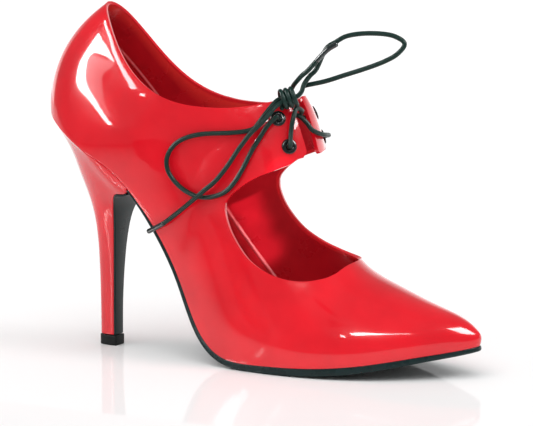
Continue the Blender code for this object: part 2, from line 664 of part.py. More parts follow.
def make_lace(shoe, last):
    stride = CORD_STEP * LACE_DIAMETER
    mouths = {name: (point, normal) for name, point, normal in eyelet_places(last)}

    def half_run(below, above, between):
        (low, low_out), (high, high_out) = mouths[below], mouths[above]
        start = [low - low_out * EYELET_INTO, low + low_out * EYELET_OVER]
        end = [high - high_out * EYELET_UNDER, high - high_out * EYELET_INTO]
        return open_curve(start + [np.array(place) for place in between] + end, stride * 0.5)

    outer = cord_mesh("lace_crossing", half_run("eyelet_outer_lower", "eyelet_inner_upper", OUTER_HALF))
    inner = cord_mesh("lace_inner_half", half_run("eyelet_inner_lower", "eyelet_outer_upper", INNER_HALF))
    crossing = shoe.part("lace_crossing", outer, shoe.cord)
    join = crossing.modifiers.new("join", "BOOLEAN")
    join.operation = "UNION"
    join.object = shoe.cutter("lace_inner_half", inner)
    axis = Vector(KNOT_AXIS).normalized()
    deep = axis.cross(Vector((0.0, 0.0, 1.0))).normalized()
    tall = deep.cross(axis)
    wrap = []
    for turn in np.arange(-KNOT_TURNS / 2, KNOT_TURNS / 2 + 0.01, 1 / 12):
        angle = 2 * math.pi * turn
        spoke = tall * (KNOT_RADIUS * math.cos(angle)) + deep * (KNOT_DEPTH * math.sin(angle))
        wrap.append(np.array(Vector(KNOT_CENTRE) + spoke + axis * (KNOT_PITCH * turn)))
    runs = {
        "lace_knot": np.array(wrap),
        "lace_loop_left": open_curve(LOOP_LEFT, stride),
        "lace_loop_right": open_curve(LOOP_RIGHT, stride),
        "lace_end_left": open_curve(END_LEFT, stride),
        "lace_end_right": open_curve(END_RIGHT, stride),
    }
    for name, places in runs.items():
        shoe.part(name, cord_curve(name, places), shoe.cord)


def main():
    shoe = Shoe()
    last = Last()
    make_upper(shoe, last)
    make_outsole(shoe, last)
    make_insole(shoe, last)
    make_heel(shoe, last)
    make_breast(shoe, last)
    make_top_piece(shoe, last)
    make_eyelets(shoe, last)
    make_lace(shoe, last)


main()
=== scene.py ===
"""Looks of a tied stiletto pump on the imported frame: patent upper, sole, heel, eyelets and waxed lace."""

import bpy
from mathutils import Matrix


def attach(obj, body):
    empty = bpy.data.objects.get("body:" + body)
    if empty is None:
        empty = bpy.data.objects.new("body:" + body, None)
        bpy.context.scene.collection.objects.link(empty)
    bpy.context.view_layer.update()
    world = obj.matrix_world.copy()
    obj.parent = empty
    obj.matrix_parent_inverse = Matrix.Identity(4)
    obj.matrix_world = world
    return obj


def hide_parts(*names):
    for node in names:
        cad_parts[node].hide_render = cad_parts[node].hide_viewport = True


bl_info = {
    "name": "Tied stiletto pump",
    "version": (1, 0, 0),
    "blender": (4, 5, 0),
    "location": "View3D > Sidebar > Pump",
    "description": "Dresses the frame of a tied stiletto pump with its upper, sole, heel, eyelets and lace",
    "category": "Object",
}

import math

import bmesh
import bpy
import numpy as np
from bpy.props import FloatProperty, FloatVectorProperty, IntProperty, PointerProperty
from bpy.types import Operator, Panel, PropertyGroup
from mathutils import Matrix, Vector

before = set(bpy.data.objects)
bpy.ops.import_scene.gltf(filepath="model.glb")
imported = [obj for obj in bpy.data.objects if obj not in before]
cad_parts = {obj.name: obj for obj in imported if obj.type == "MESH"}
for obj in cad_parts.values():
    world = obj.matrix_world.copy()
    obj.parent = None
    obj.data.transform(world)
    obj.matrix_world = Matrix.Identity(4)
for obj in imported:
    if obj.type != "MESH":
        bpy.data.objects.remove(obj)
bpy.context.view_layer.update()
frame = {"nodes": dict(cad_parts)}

# Lengths in the tables are millimetres on the last: x forward from the heel tip, y to the inner side and z up
# from the floor. This place on the last is the middle of the frame.
MM = 0.001
FRAME_MIDDLE = np.array([82.19, -0.28, 0.0])

# Steps between two points of a curve, places on the inner side, halvings of the way to a cut edge, and the
# distance in the frame below which points are merged
CURVE_STEPS = 24
INNER_PLACES = 4001
EDGE_ROUNDS = 20
MERGED = 2e-6

# A row for each section of the last, from the middle of the heel to the tip of the toe: the feather edge, the
# corner that the side swells towards and the crown, each as x, z and half width, then how full the side is,
# where the middle of the bottom and the ridge lie across the foot, and how thick the outsole is there
SECTION_COLUMNS = (
    "base_x", "base_z", "base_half", "corner_x", "corner_z", "corner_half",
    "crown_x", "crown_z", "crown_half", "full", "mid", "ridge", "sole",
)
HALF_COLUMNS = ("base_half", "corner_half", "crown_half")
SECTIONS = (
    (-32.2, 121.7, 0.0, -36.9, 162.8, 0.0, 7.1, 178.6, 0.0, 2.10, 0.0, 0.0, 1.3),
    (-28.8, 119.2, 12.6, -31.1, 160.8, 12.4, 11.9, 173.2, 9.4, 2.10, 0.0, 0.0, 1.3),
    (-18.2, 111.4, 21.3, -14.7, 146.9, 25.5, 26.0, 160.6, 15.7, 2.08, 0.0, 0.3, 1.3),
    (-3.0, 101.3, 25.2, 14.0, 131.0, 32.5, 54.0, 146.0, 19.5, 2.10, 0.0, 1.0, 1.3),
    (11.5, 92.4, 24.6, 52.0, 126.0, 37.0, 86.0, 138.0, 15.0, 2.15, 0.0, 2.4, 1.3),
    (24.0, 79.2, 21.8, 92.0, 128.5, 40.0, 103.5, 130.5, 0.0, 2.20, -0.3, 3.4, 1.6),
    (36.0, 63.0, 20.6, 108.0, 110.0, 43.5, 112.5, 109.0, 0.0, 2.25, -0.6, 3.6, 2.3),
    (49.0, 41.0, 21.6, 115.0, 90.5, 46.0, 117.0, 89.5, 0.0, 2.30, -0.8, 3.4, 2.6),
    (62.0, 16.6, 25.6, 121.5, 72.0, 47.0, 122.0, 71.0, 0.0, 2.30, -0.9, 3.0, 2.8),
    (77.0, 5.2, 30.4, 127.5, 58.0, 46.8, 127.3, 57.3, 0.0, 2.30, -1.0, 2.6, 3.0),
    (98.0, 3.7, 34.6, 136.5, 47.9, 44.8, 136.5, 47.8, 0.0, 2.25, -1.0, 2.4, 3.4),
    (124.0, 4.6, 36.2, 150.5, 41.2, 40.5, 150.5, 41.2, 0.0, 2.15, -0.6, 2.3, 3.6),
    (150.0, 7.2, 32.0, 167.5, 34.5, 33.4, 167.5, 34.5, 0.0, 2.05, 0.3, 2.2, 3.4),
    (172.0, 10.9, 22.0, 182.0, 29.5, 22.8, 182.0, 29.5, 0.0, 2.00, 1.2, 2.2, 2.8),
    (188.0, 13.4, 10.8, 192.0, 24.5, 11.2, 192.0, 24.5, 0.0, 2.00, 1.9, 2.2, 2.4),
    (196.2, 14.9, 0.0, 198.0, 19.8, 0.0, 196.2, 20.8, 0.0, 2.00, 2.2, 2.2, 2.3),
)
RIDGE_ROUNDING = 0.2
OPEN_CROWN = 10.0
FIRST_RIDGE_ROW = 5
RIB_ENDS = (0.002, 0.998)

# The search for a place on the strap: where it starts, its rounds, its longest step and how high it may go
FIND_FROM = (0.45, 0.8)
FIND_ROUNDS = 40
FIND_STEP = 0.03
FIND_HIGHEST = 0.985

# The topline, and the outline of the cut-out over the instep, as x and z on the middle plane
COLLAR = (
    (-8.0, 179.0), (-1.5, 174.5), (7.0, 163.2), (18.0, 147.6), (34.0, 133.0), (50.0, 126.4),
    (66.0, 124.4), (82.0, 124.9), (98.0, 128.2), (110.0, 130.5),
)
CUT_OUT = (
    (78.2, 79.6), (79.4, 72.4), (83.6, 64.2), (91.2, 55.5), (101.0, 49.6), (110.5, 46.6), (118.5, 45.6),
    (125.8, 46.2), (130.2, 47.6), (133.0, 51.2), (142.0, 70.0), (142.0, 103.0), (113.0, 101.8),
    (107.0, 98.8), (100.0, 95.9), (93.0, 92.9), (86.2, 88.8), (80.8, 84.2),
)
CUT_OUT_STEPS = 8

# For each millimetre towards the inner side the cut-out rises, by one share on the outer half and another on
# the inner half, and moves forward
CUT_OUT_RISE = 0.05
CUT_OUT_RISE_INNER = 0.19
CUT_OUT_ADVANCE = 0.04

# The two flaps of the strap: the gap between them, the rounding of their corners, how far below them the gap
# still cuts, and the distance that stands for far away from it
FLAP_GAP = 8.0
FLAP_GAP_Y = -3.8
FLAP_X = (90.0, 130.0)
FLAP_Z = (102.0, 129.6)
FLAP_CORNER = 2.2
FLAP_REACH = 6.0
FAR_INSIDE = 50.0

# Eyelets: side, and y and z of the middle on the outer face
EYELETS = (
    ("eyelet_outer_lower", -1, -14.4, 106.5),
    ("eyelet_outer_upper", -1, -13.9, 119.5),
    ("eyelet_inner_lower", 1, 16.0, 109.0),
    ("eyelet_inner_upper", 1, 15.0, 120.5),
)

# Radii of an eyelet, the rise of its dome and of the dome's edge, the hole in the upper and its depth, the
# clearance under the flange, the rolled inner rim and its lip, and the steps of each round
EYELET_FLANGE = 3.7
EYELET_BARREL = 2.3
EYELET_BORE = 1.35
EYELET_RISE = 0.75
EYELET_EDGE = 0.25
EYELET_HOLE = 2.65
EYELET_DEEP = 6.0
EYELET_CLEAR = 0.05
EYELET_ROLL = 0.35
EYELET_LIP = 0.55
EYELET_DOME_STEPS = 15
EYELET_ROLL_STEPS = 7
EYELET_STEPS = 48

# Soft troughs of the outer side, as x and z of places along each, then depth and half width
CREASES = (
    (((86.0, 113.0), (75.0, 109.5), (68.0, 105.0), (62.5, 99.0), (60.0, 91.0)), 0.55, 4.5),
    (((82.0, 101.0), (78.0, 93.0), (74.0, 85.0)), 0.45, 4.0),
    (((71.0, 81.0), (60.0, 75.0), (55.0, 65.0), (51.5, 53.0)), 0.60, 4.5),
)
CREASE_STRIDE = 2.0
CREASE_ENDS = (0.02, 0.98)
CREASE_FADE = 0.7
CREASE_LIP = 0.45
CREASE_INNERMOST_Y = -6.0

# Inside the cut edges, this much of the lining's side is the patent leather turned over
EDGE_LAYER = "inside_edge"
TURNED_EDGE = (1.3, 2.1)
TURNED_TONE = (0.80, 0.02, 0.03)

# Under the topline the lining is painted lighter, as painted light falling in at the opening, in a band that
# narrows towards the strap and downwards
COLLAR_PAINTED_LIGHT_LAYER = "painted_collar_light"
COLLAR_PAINTED_LIGHT_BAND = (2.0, 11.0)
COLLAR_PAINTED_LIGHT_TONE = (0.88, 0.045, 0.04)
COLLAR_PAINTED_LIGHT_X = 60.0
COLLAR_PAINTED_LIGHT_SLOPE = 0.5
COLLAR_PAINTED_LIGHT_Z = 114.0

# Seam of the lining on the inner side, as x and z of two places on it, then its half width at the top and the
# foot of its ridge and its height, in metres, and the pale colour painted along the ridge as a painted
# highlight
LINING_SEAM = ((53.2, 68.6), (75.2, 38.3))
LINING_SEAM_RIDGE = (0.0002, 0.0011)
LINING_SEAM_HEIGHT = 0.0009
LINING_SEAM_HIGHLIGHT_TONE = (0.952, 0.16, 0.18)

# Gap and seam between pieces, then the sole, the insole and the heel with its top piece
GAP = 0.3
SEAM = 0.12
BREAST_X = 21.5
SEAT_FRONT_X = 20.6
TREAD_X = (85.0, 117.0)
SOLE_EDGE_OUT = 0.3
SOLE_EDGE_IN = 0.7
SOLE_EDGE_TURN_X = (50.0, 80.0)
SOLE_ROUNDING = 1.0
SOLE_ROUNDING_SHARE = 0.42
SOLE_TOP_ROUNDING = 0.25
SOLE_CORNER_STEPS = 7
SOLE_RIBS = 200
SOLE_ACROSS = 7
INSOLE_THICK = 1.5
INSOLE_CLEAR = 0.2
INSOLE_ROUNDING = 0.5
INSOLE_FRONT_T = 0.975
INSOLE_RIBS = 150
INSOLE_ACROSS = 25
HEEL_COLUMNS = ("back_x", "back_z", "front_x", "front_z", "half", "arch", "seat")
HEEL = (
    (-7.6, 5.5, 1.6, 5.5, 3.9, 0.0, 0.0),
    (-7.7, 20.0, 1.7, 20.0, 4.0, 0.0, 0.0),
    (-8.0, 38.0, 2.3, 38.0, 4.7, 0.0, 0.0),
    (-9.0, 57.0, 3.5, 56.5, 6.5, 0.0, 0.1),
    (-12.0, 74.0, 5.5, 70.0, 10.0, 0.3, 0.3),
    (-16.7, 89.0, 8.2, 76.3, 14.6, 1.6, 0.6),
    (-21.8, 103.2, 12.6, 79.4, 18.4, 3.2, 0.85),
    (-28.0, 113.8, 18.9, 80.4, 21.2, 3.4, 1.0),
)
HEEL_RING_HALF = 30
HEEL_RINGS = 90
BREAST_THICK = 0.9
BREAST_ROUNDING_SHARE = 0.8
BREAST_ACROSS = 9
TOP_PIECE_HEIGHT = 5.2
TOP_PIECE_OUT = 0.35
TOP_PIECE_FRONT = 3.0
TOP_PIECE_RINGS = 5
TOP_PIECE_ANGLE = 40.0

# The lace: its steps along, as a share of its diameter, and around, how far it runs below, over, under and
# past the eyelets, and the flattened dome that closes a cord
LACE_STRIDE = 0.28
LACE_AROUND = 16
EYELET_THROUGH = 4.5
EYELET_OVER = 2.0
EYELET_UNDER = 5.0
EYELET_PAST = 0.6
DOME_STEPS = 6
DOME_DEPTH = 0.7
DOME_CLEAR = 0.75

# The halves between the eyelets, the wraps of the knot, the loops and the ends
OUTER_HALF = (
    (106.0, -14.3, 113.5), (106.6, -13.2, 119.5), (106.7, -10.0, 124.3), (107.4, -6.2, 123.4),
    (106.9, -4.0, 122.6), (104.9, -1.0, 121.0), (102.6, 3.0, 119.6), (101.8, 6.5, 118.9),
)
INNER_HALF = (
    (113.1, 13.6, 110.1), (113.9, 9.2, 110.6), (113.9, 4.0, 111.2), (111.6, -2.0, 113.6),
    (108.9, -3.4, 117.4), (105.2, -4.2, 120.4), (100.6, -6.0, 120.7), (97.0, -8.6, 119.2),
)
KNOT_CENTRE = (103.5, -13.0, 129.3)
KNOT_AXIS = (0.86, 0.45, 0.25)
KNOT_RADIUS = 4.1
KNOT_DEPTH = 2.95
KNOT_PITCH = 2.5
KNOT_TURNS = 3.0
KNOT_STEPS = 36
LOOP_LEFT = (
    (102.9, -13.0, 129.3), (100.1, -13.5, 128.9), (98.6, -15.0, 127.9), (97.1, -17.2, 125.5),
    (94.7, -19.4, 121.7), (92.3, -20.7, 118.0), (90.0, -21.5, 115.1), (85.8, -22.7, 113.6),
    (78.0, -24.5, 112.7), (64.7, -26.2, 111.8), (55.8, -27.7, 109.5), (49.9, -28.4, 105.5),
    (46.5, -28.4, 99.7), (46.6, -27.9, 94.0), (49.7, -27.3, 88.9), (55.4, -27.2, 84.4),
    (63.0, -27.8, 81.8), (70.5, -28.3, 82.0), (77.7, -28.2, 84.7), (82.6, -27.5, 89.7),
    (86.2, -26.2, 96.0), (89.9, -24.0, 104.5), (92.2, -22.2, 109.0), (95.8, -20.2, 115.6),
    (98.9, -18.6, 119.5), (101.1, -17.6, 121.3),
)
END_LEFT = (
    (102.9, -14.2, 128.6), (101.0, -16.6, 126.8), (99.4, -18.9, 125.0), (98.1, -21.2, 122.4),
    (95.5, -23.4, 118.6), (93.1, -24.6, 116.0), (89.7, -26.0, 112.3), (84.1, -26.9, 104.9),
    (79.1, -28.2, 97.2), (73.7, -29.8, 90.2), (68.0, -31.1, 85.2), (61.6, -30.4, 80.2),
    (50.3, -26.9, 72.4), (42.0, -25.1, 67.0), (32.7, -22.6, 62.5),
)
LOOP_RIGHT = (
    (104.3, -13.0, 129.4), (108.3, -12.7, 130.3), (110.5, -12.2, 132.6), (111.4, -11.0, 136.3),
    (113.7, -9.6, 140.0), (116.6, -8.6, 143.3), (121.7, -9.0, 152.8), (126.4, -8.0, 156.2),
    (131.6, -7.0, 159.0), (139.9, -6.0, 160.3), (149.1, -5.0, 160.2), (155.4, -4.5, 158.9),
    (159.8, -4.5, 155.7), (156.0, -4.5, 150.8), (149.2, -5.0, 147.1), (139.7, -5.5, 143.6),
    (130.2, -6.0, 140.6), (120.9, -7.0, 137.6), (111.9, -7.4, 135.6), (109.1, -7.6, 134.9),
)
END_RIGHT = (
    (102.4, -6.2, 133.0), (104.6, -8.4, 135.3), (107.6, -10.8, 137.6), (110.8, -12.2, 140.3),
    (114.4, -12.6, 143.1), (122.6, -11.4, 151.8), (128.0, -10.6, 155.4),
)
AGLET_LENGTHS = {"lace_end_left": 12.5, "lace_end_right": 13.5}
AGLET_WALL = 0.12
AGLET_PAST = 0.5
AGLET_AROUND = 20


def spline_through(knots, values, closed=False):
    """Cubic spline through rows of values at knots; a closed one ends as it begins."""
    knots = np.asarray(knots, float)
    values = np.asarray(values, float)
    steps = np.diff(knots)
    last = len(knots) - 1
    system = np.eye(last + 1)
    right = np.zeros_like(values)
    slopes = np.diff(values, axis=0) / steps[:, None]
    for i in range(1, last):
        system[i, i - 1:i + 2] = steps[i - 1], 2 * (steps[i - 1] + steps[i]), steps[i]
        right[i] = 6 * (slopes[i] - slopes[i - 1])
    if closed:
        system[0, [0, 1, last - 1, last]] = 2 * steps[0], steps[0], steps[-1], 2 * steps[-1]
        right[0] = 6 * (slopes[0] - slopes[-1])
        system[last, 0] = -1.0
    bend = np.linalg.solve(system, right)

    def at(places):
        places = np.atleast_1d(np.asarray(places, float))
        i = np.clip(np.searchsorted(knots, places) - 1, 0, last - 1)
        before = (knots[i + 1] - places)[:, None]
        after = (places - knots[i])[:, None]
        step = steps[i][:, None]
        curve = (bend[i] * before**3 + bend[i + 1] * after**3) / (6 * step)
        start = (values[i] / step - bend[i] * step / 6) * before
        end = (values[i + 1] / step - bend[i + 1] * step / 6) * after
        return curve + start + end

    return at


def rounded_run(p0, p1, p2, p3, steps):
    """Places from p1 towards p2 on a smooth curve through the four points."""
    u = (np.arange(steps) / steps)[:, None]
    bend = (2 * p0 - 5 * p1 + 4 * p2 - p3) * u**2 + (3 * p1 - p0 - 3 * p2 + p3) * u**3
    return 0.5 * (2 * p1 + (p2 - p0) * u + bend)


def closed_curve(points, steps):
    """Smooth closed curve through points, steps places for each."""
    points = np.asarray(points, float)
    turned = [np.roll(points, shift, 0) for shift in (1, 0, -1, -2)]
    return np.vstack([rounded_run(*four, steps) for four in zip(*turned)])


def open_curve(points, stride):
    """Smooth curve through points, with a place about every stride."""
    points = np.asarray(points, float)
    ends = np.vstack([2 * points[0] - points[1], points, 2 * points[-1] - points[-2]])
    runs = [rounded_run(*four, CURVE_STEPS) for four in zip(ends, ends[1:], ends[2:], ends[3:])]
    fine = np.vstack(runs + [points[-1:]])
    run = run_along(fine)
    places = np.linspace(0.0, run[-1], max(int(round(run[-1] / stride)), 4) + 1)
    return np.column_stack([np.interp(places, run, fine[:, axis]) for axis in range(3)])


def run_along(points):
    """Length along a line of points up to each of them."""
    return np.concatenate([[0.0], np.cumsum(np.linalg.norm(np.diff(points, axis=0), axis=1))])


def unit(vectors):
    return vectors / np.maximum(np.linalg.norm(vectors, axis=-1, keepdims=True), 1e-12)


def to_frame(points):
    """Points on the last in millimetres, as metres in the frame."""
    return (np.asarray(points, float) - FRAME_MIDDLE) * MM


def direction(turn, rise):
    """Unit direction, turn to the right of the front and rise up, both in radians."""
    return np.array([math.sin(turn) * math.cos(rise), -math.cos(turn) * math.cos(rise), math.sin(rise)])


class Last:
    """The last: ribs at t from -1 at the toe, along the outer side to 0 at the heel, and inside to 1."""

    def __init__(self):
        rows = np.array(SECTIONS)
        halves = [SECTION_COLUMNS.index(name) for name in HALF_COLUMNS]
        outer = rows[:0:-1].copy()
        outer[:, halves] *= -1
        loop = np.vstack([outer, rows])
        strides = np.sqrt(np.linalg.norm(np.diff(loop[:, :3], axis=0), axis=1))
        knots = np.concatenate([[0.0], np.cumsum(strides)])
        knots = knots / knots[-1] * 2 - 1
        self.at = spline_through(knots, loop, closed=True)
        self.ridge_from = knots[len(rows) - 1 + FIRST_RIDGE_ROW]
        self.inner_t = np.linspace(0.0, 1.0, INNER_PLACES)
        self.inner_x = np.maximum.accumulate(self.at(self.inner_t)[:, 0])

    def rows(self, t):
        t = np.atleast_1d(np.asarray(t, float))
        rows = dict(zip(SECTION_COLUMNS, self.at(t).T))
        rows["crown_half"] = np.where(np.abs(t) >= self.ridge_from, 0.0, rows["crown_half"])
        return rows

    def feather(self, t):
        """Points of the feather edge."""
        rows = self.rows(t)
        return np.column_stack([rows["base_x"], rows["mid"] + rows["base_half"], rows["base_z"]])

    def surface(self, t, turn):
        """Points of the outer face of the upper, at turn from 0 at the feather edge to 1 on the crown."""
        rows = self.rows(t)
        base = np.column_stack([rows["base_x"], rows["mid"] + rows["base_half"], rows["base_z"]])
        corner = np.column_stack([rows["corner_x"], rows["ridge"] + rows["corner_half"], rows["corner_z"]])
        crown = np.column_stack([rows["crown_x"], rows["ridge"] + rows["crown_half"], rows["crown_z"]])
        angle = np.clip(np.atleast_1d(turn), 0.0, 1.0) * math.pi / 2
        rise = np.sin(angle) ** (2 / rows["full"])
        close = np.maximum(np.cos(angle), 0.0) ** (2 / rows["full"])
        rounding = RIDGE_ROUNDING * np.clip(1 - np.abs(rows["crown_half"]) / OPEN_CROWN, 0.0, 1.0)
        soft = (np.hypot(close, rounding) - rounding) / (np.hypot(1.0, rounding) - rounding)
        reach = 1 - np.column_stack([soft, close, soft])
        return corner + (base - corner) * (1 - rise)[:, None] + (crown - corner) * reach

    def normals(self, t, turn, step=1e-3):
        """Unit normals of the outer face, away from the foot."""
        t, turn = np.atleast_1d(t), np.atleast_1d(turn)
        along = self.surface(t + step, turn) - self.surface(t - step, turn)
        up = self.surface(t, turn + step) - self.surface(t, turn - step)
        return unit(np.cross(up, along))

    def find(self, side, y, z):
        """Point and normal on one side of the strap where the outer face has this y and z."""
        place = np.array([side * 0.5 * (self.ridge_from + FIND_FROM[0]), FIND_FROM[1]])
        step = 1e-4
        for _ in range(FIND_ROUNDS):
            here = self.surface(place[0], place[1])[0, 1:]
            along = (self.surface(place[0] + step, place[1])[0, 1:] - here) / step
            up = (self.surface(place[0], place[1] + step)[0, 1:] - here) / step
            move = np.linalg.solve(np.column_stack([along, up]), np.array([y, z]) - here)
            place = place + np.clip(move, -FIND_STEP, FIND_STEP)
            place[1] = min(place[1], FIND_HIGHEST)
        return self.surface(*place)[0], self.normals(*place)[0]

    def t_at_x(self, x):
        """Places on the inner side where the feather edge is at x."""
        return np.interp(x, self.inner_x, self.inner_t)

    def bottom(self, t, inset, step=1e-3):
        """Points of the bottom this far inside the feather edge, and the bottom's normals there."""
        t = np.atleast_1d(t)
        tangent = self.feather(np.minimum(t + step, 1.0)) - self.feather(np.maximum(t - step, -1.0))
        inward = unit(np.column_stack([tangent[:, 1], -tangent[:, 0], np.zeros(len(t))]))
        points = self.feather(t) + inward * np.reshape(inset, (-1, 1))
        places = self.t_at_x(points[:, 0])
        points[:, 2] = self.rows(places)["base_z"]
        run = self.feather(np.minimum(places + step, 1.0)) - self.feather(np.maximum(places - step, 0.0))
        return points, unit(np.column_stack([-run[:, 2], np.zeros(len(t)), run[:, 0]]))


def distance_to_line(points, line, closed=False):
    """Distance of points from a line in a plane, and the share of the line before the nearest place."""
    start = line if closed else line[:-1]
    end = np.roll(line, -1, 0) if closed else line[1:]
    nearest = np.full(len(points), np.inf)
    place = np.zeros(len(points))
    for i, (a, b) in enumerate(zip(start, end)):
        along = b - a
        share = np.clip((points - a) @ along / max(along @ along, 1e-12), 0.0, 1.0)
        distance = np.linalg.norm(points - a - share[:, None] * along, axis=1)
        closer = distance < nearest
        nearest = np.where(closer, distance, nearest)
        place = np.where(closer, (i + share) / len(start), place)
    return nearest, place


class Edges:
    """How far points of the upper lie inside its cut edges; below zero they are cut away."""

    def __init__(self, last):
        collar = np.array(COLLAR)
        self.collar = spline_through(collar[:, 0], collar[:, 1:])
        self.oval = closed_curve(CUT_OUT, CUT_OUT_STEPS)
        self.eyelets = [last.find(side, y, z) for _, side, y, z in EYELETS]

    def from_oval(self, points):
        rise = np.where(points[:, 1] > 0, CUT_OUT_RISE_INNER, CUT_OUT_RISE)
        shift = np.column_stack([np.full(len(points), CUT_OUT_ADVANCE), rise])
        flat = points[:, [0, 2]] - points[:, [1]] * shift
        distance, _ = distance_to_line(flat, self.oval, closed=True)
        crossings = np.zeros(len(points), int)
        for a, b in zip(self.oval, np.roll(self.oval, -1, 0)):
            spans = (a[1] > flat[:, 1]) != (b[1] > flat[:, 1])
            crossing_x = a[0] + (flat[:, 1] - a[1]) / (b[1] - a[1] or 1e-9) * (b[0] - a[0])
            crossings += spans & (crossing_x > flat[:, 0])
        return np.where(crossings % 2 == 1, -distance, distance)

    def from_gap(self, points):
        low, high = FLAP_Z
        z = points[:, 2]
        past = np.clip(np.maximum(low + FLAP_CORNER - z, z - high + FLAP_CORNER), 0.0, FLAP_CORNER)
        half = FLAP_GAP / 2 + FLAP_CORNER - np.sqrt(FLAP_CORNER**2 - past**2)
        there = (points[:, 0] > FLAP_X[0]) & (points[:, 0] < FLAP_X[1]) & (z > low - FLAP_REACH)
        return np.where(there, np.abs(points[:, 1] - FLAP_GAP_Y) - half, FAR_INSIDE)

    def at(self, points):
        x = np.clip(points[:, 0], COLLAR[0][0], COLLAR[-1][0])
        inside = np.minimum(self.collar(x)[:, 0] - points[:, 2], self.from_oval(points))
        inside = np.minimum(inside, self.from_gap(points))
        for point, axis in self.eyelets:
            offset = points - point
            along = offset @ axis
            radius = np.linalg.norm(offset - along[:, None] * axis, axis=1)
            near = np.abs(along) < EYELET_DEEP
            inside = np.where(near, np.minimum(inside, radius - EYELET_HOLE), inside)
        return inside


def trimmed_sheet(last, edges, columns, steps):
    """Grid over the last with points moved onto the cut edges, and the places (t, turn) of its points."""
    bm = bmesh.new()
    bmesh.ops.create_grid(bm, x_segments=columns, y_segments=steps, size=1.0)
    places = np.array([(vert.co.x, (vert.co.y + 1) / 2) for vert in bm.verts])
    inside = edges.at(last.surface(places[:, 0], places[:, 1]))
    ends = np.array([[vert.index for vert in edge.verts] for edge in bm.edges])
    ends = ends[(inside[ends[:, 0]] > 0) != (inside[ends[:, 1]] > 0)]
    first_kept = inside[ends[:, 0]] > 0
    kept = np.where(first_kept, ends[:, 0], ends[:, 1])
    gone = np.where(first_kept, ends[:, 1], ends[:, 0])
    low, high = np.zeros(len(kept)), np.ones(len(kept))
    for _ in range(EDGE_ROUNDS):
        middle = (low + high) / 2
        there = places[kept] + (places[gone] - places[kept]) * middle[:, None]
        good = edges.at(last.surface(there[:, 0], there[:, 1])) > 0
        low, high = np.where(good, middle, low), np.where(good, high, middle)
    spots = places[kept] + (places[gone] - places[kept]) * low[:, None]
    moved = np.where(low < 0.5, kept, gone)
    order = np.argsort(-np.minimum(low, 1 - low))
    places[moved[order]] = spots[order]
    inside[moved] = 0.0
    for face in list(bm.faces):
        depths = [inside[vert.index] for vert in face.verts]
        if min(depths) >= 0 and max(depths) > 0:
            continue
        left = [vert for vert in face.verts if inside[vert.index] >= 0]
        bm.faces.remove(face)
        if len(left) > 2 and max(depths) > 0:
            bm.faces.new(left)
    loose = [edge for edge in bm.edges if not edge.link_faces]
    for edge in loose:
        bm.edges.remove(edge)
    relax(bm, places)
    for vert in [vert for vert in bm.verts if not vert.link_faces]:
        bm.verts.remove(vert)
    left = np.array([vert.index for vert in bm.verts])
    return bm, places[left]


def relax(bm, places, rounds=8):
    """Evens out the places near the cut edges; an even grid stays as it is."""
    free = np.array([bool(vert.link_faces) and not vert.is_boundary for vert in bm.verts])
    ends = np.array([[vert.index for vert in edge.verts] for edge in bm.edges])
    count = np.bincount(ends.ravel(), minlength=len(places))
    for _ in range(rounds):
        total = np.zeros_like(places)
        np.add.at(total, ends[:, 0], places[ends[:, 1]])
        np.add.at(total, ends[:, 1], places[ends[:, 0]])
        places[free] = total[free] / count[free][:, None]


def crease_depth(points, scale):
    """How deep the soft troughs of the outer side press in at points, in millimetres."""
    depth = np.zeros(len(points))
    for places, deep, wide in CREASES:
        line = open_curve(np.insert(np.array(places), 1, 0.0, axis=1), CREASE_STRIDE)[:, [0, 2]]
        distance, along = distance_to_line(points[:, [0, 2]], line)
        fade = np.sin(math.pi * np.clip(along, *CREASE_ENDS)) ** CREASE_FADE
        share = (distance / wide) ** 2
        depth += deep * scale * fade * (1 - CREASE_LIP * share) * np.exp(-share)
    return np.where(points[:, 1] < CREASE_INNERMOST_Y, depth, 0.0)


def ring_loft(rings, closed=True, run=None):
    """Bmesh through rings of places on the last: a grid laid over them, its seam and poles merged.

    Where the run up to each ring is given, the faces are mapped, u along the run and v around the rings.
    """
    rings = np.asarray(rings, float)
    count, around = rings.shape[:2]
    wraps = around if closed else around - 1
    mapped = run is not None
    bm = bmesh.new()
    bmesh.ops.create_grid(bm, x_segments=count - 1, y_segments=wraps, size=1.0, calc_uvs=mapped)
    layer = bm.loops.layers.uv.verify() if mapped else None
    framed = to_frame(rings)
    for vert in bm.verts:
        i = round((vert.co.x + 1) / 2 * (count - 1))
        j = round((vert.co.y + 1) / 2 * wraps)
        vert.co = Vector(framed[i, j % around])
        for loop in vert.link_loops if mapped else ():
            loop[layer].uv = (run[i], j / around)
    bmesh.ops.remove_doubles(bm, verts=bm.verts[:], dist=MERGED)
    return bm


def close_ends(bm):
    """Fills the open ends of a loft and turns its faces outwards."""
    rims = [edge for edge in bm.edges if edge.is_boundary]
    bmesh.ops.holes_fill(bm, edges=rims, sides=0)
    bmesh.ops.recalc_face_normals(bm, faces=bm.faces[:])
    return bm


def new_object(name, bm, finishes):
    mesh = bpy.data.meshes.new(name)
    bm.to_mesh(mesh)
    bm.free()
    for finish in finishes:
        mesh.materials.append(finish)
    piece = bpy.data.objects.new(name, mesh)
    bpy.context.scene.collection.objects.link(piece)
    return piece


def add_piece(name, bm, finishes, slot, *nodes):
    """Object of a finished bmesh, riding on the frame in place of its nodes."""
    piece = new_object(name, bm, finishes)
    piece.data.shade_smooth()
    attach(piece, "root")
    if nodes:
        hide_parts(*nodes)
    return piece


def round_edges(piece, width, angle=50.0):
    """Rounds the edges that turn by more than this angle, in degrees."""
    rounding = piece.modifiers.new("rounded_edges", "BEVEL")
    rounding.width = width
    rounding.segments = 3
    rounding.limit_method = "ANGLE"
    rounding.angle_limit = math.radians(angle)
    rounding.profile = 0.5
    rounding.material = -1
    rounding.use_clamp_overlap = True


def join(tree, value, socket):
    """Joins a socket to another node's output, or sets it to a value."""
    if isinstance(value, bpy.types.NodeSocket):
        tree.links.new(value, socket)
    else:
        socket.default_value = value


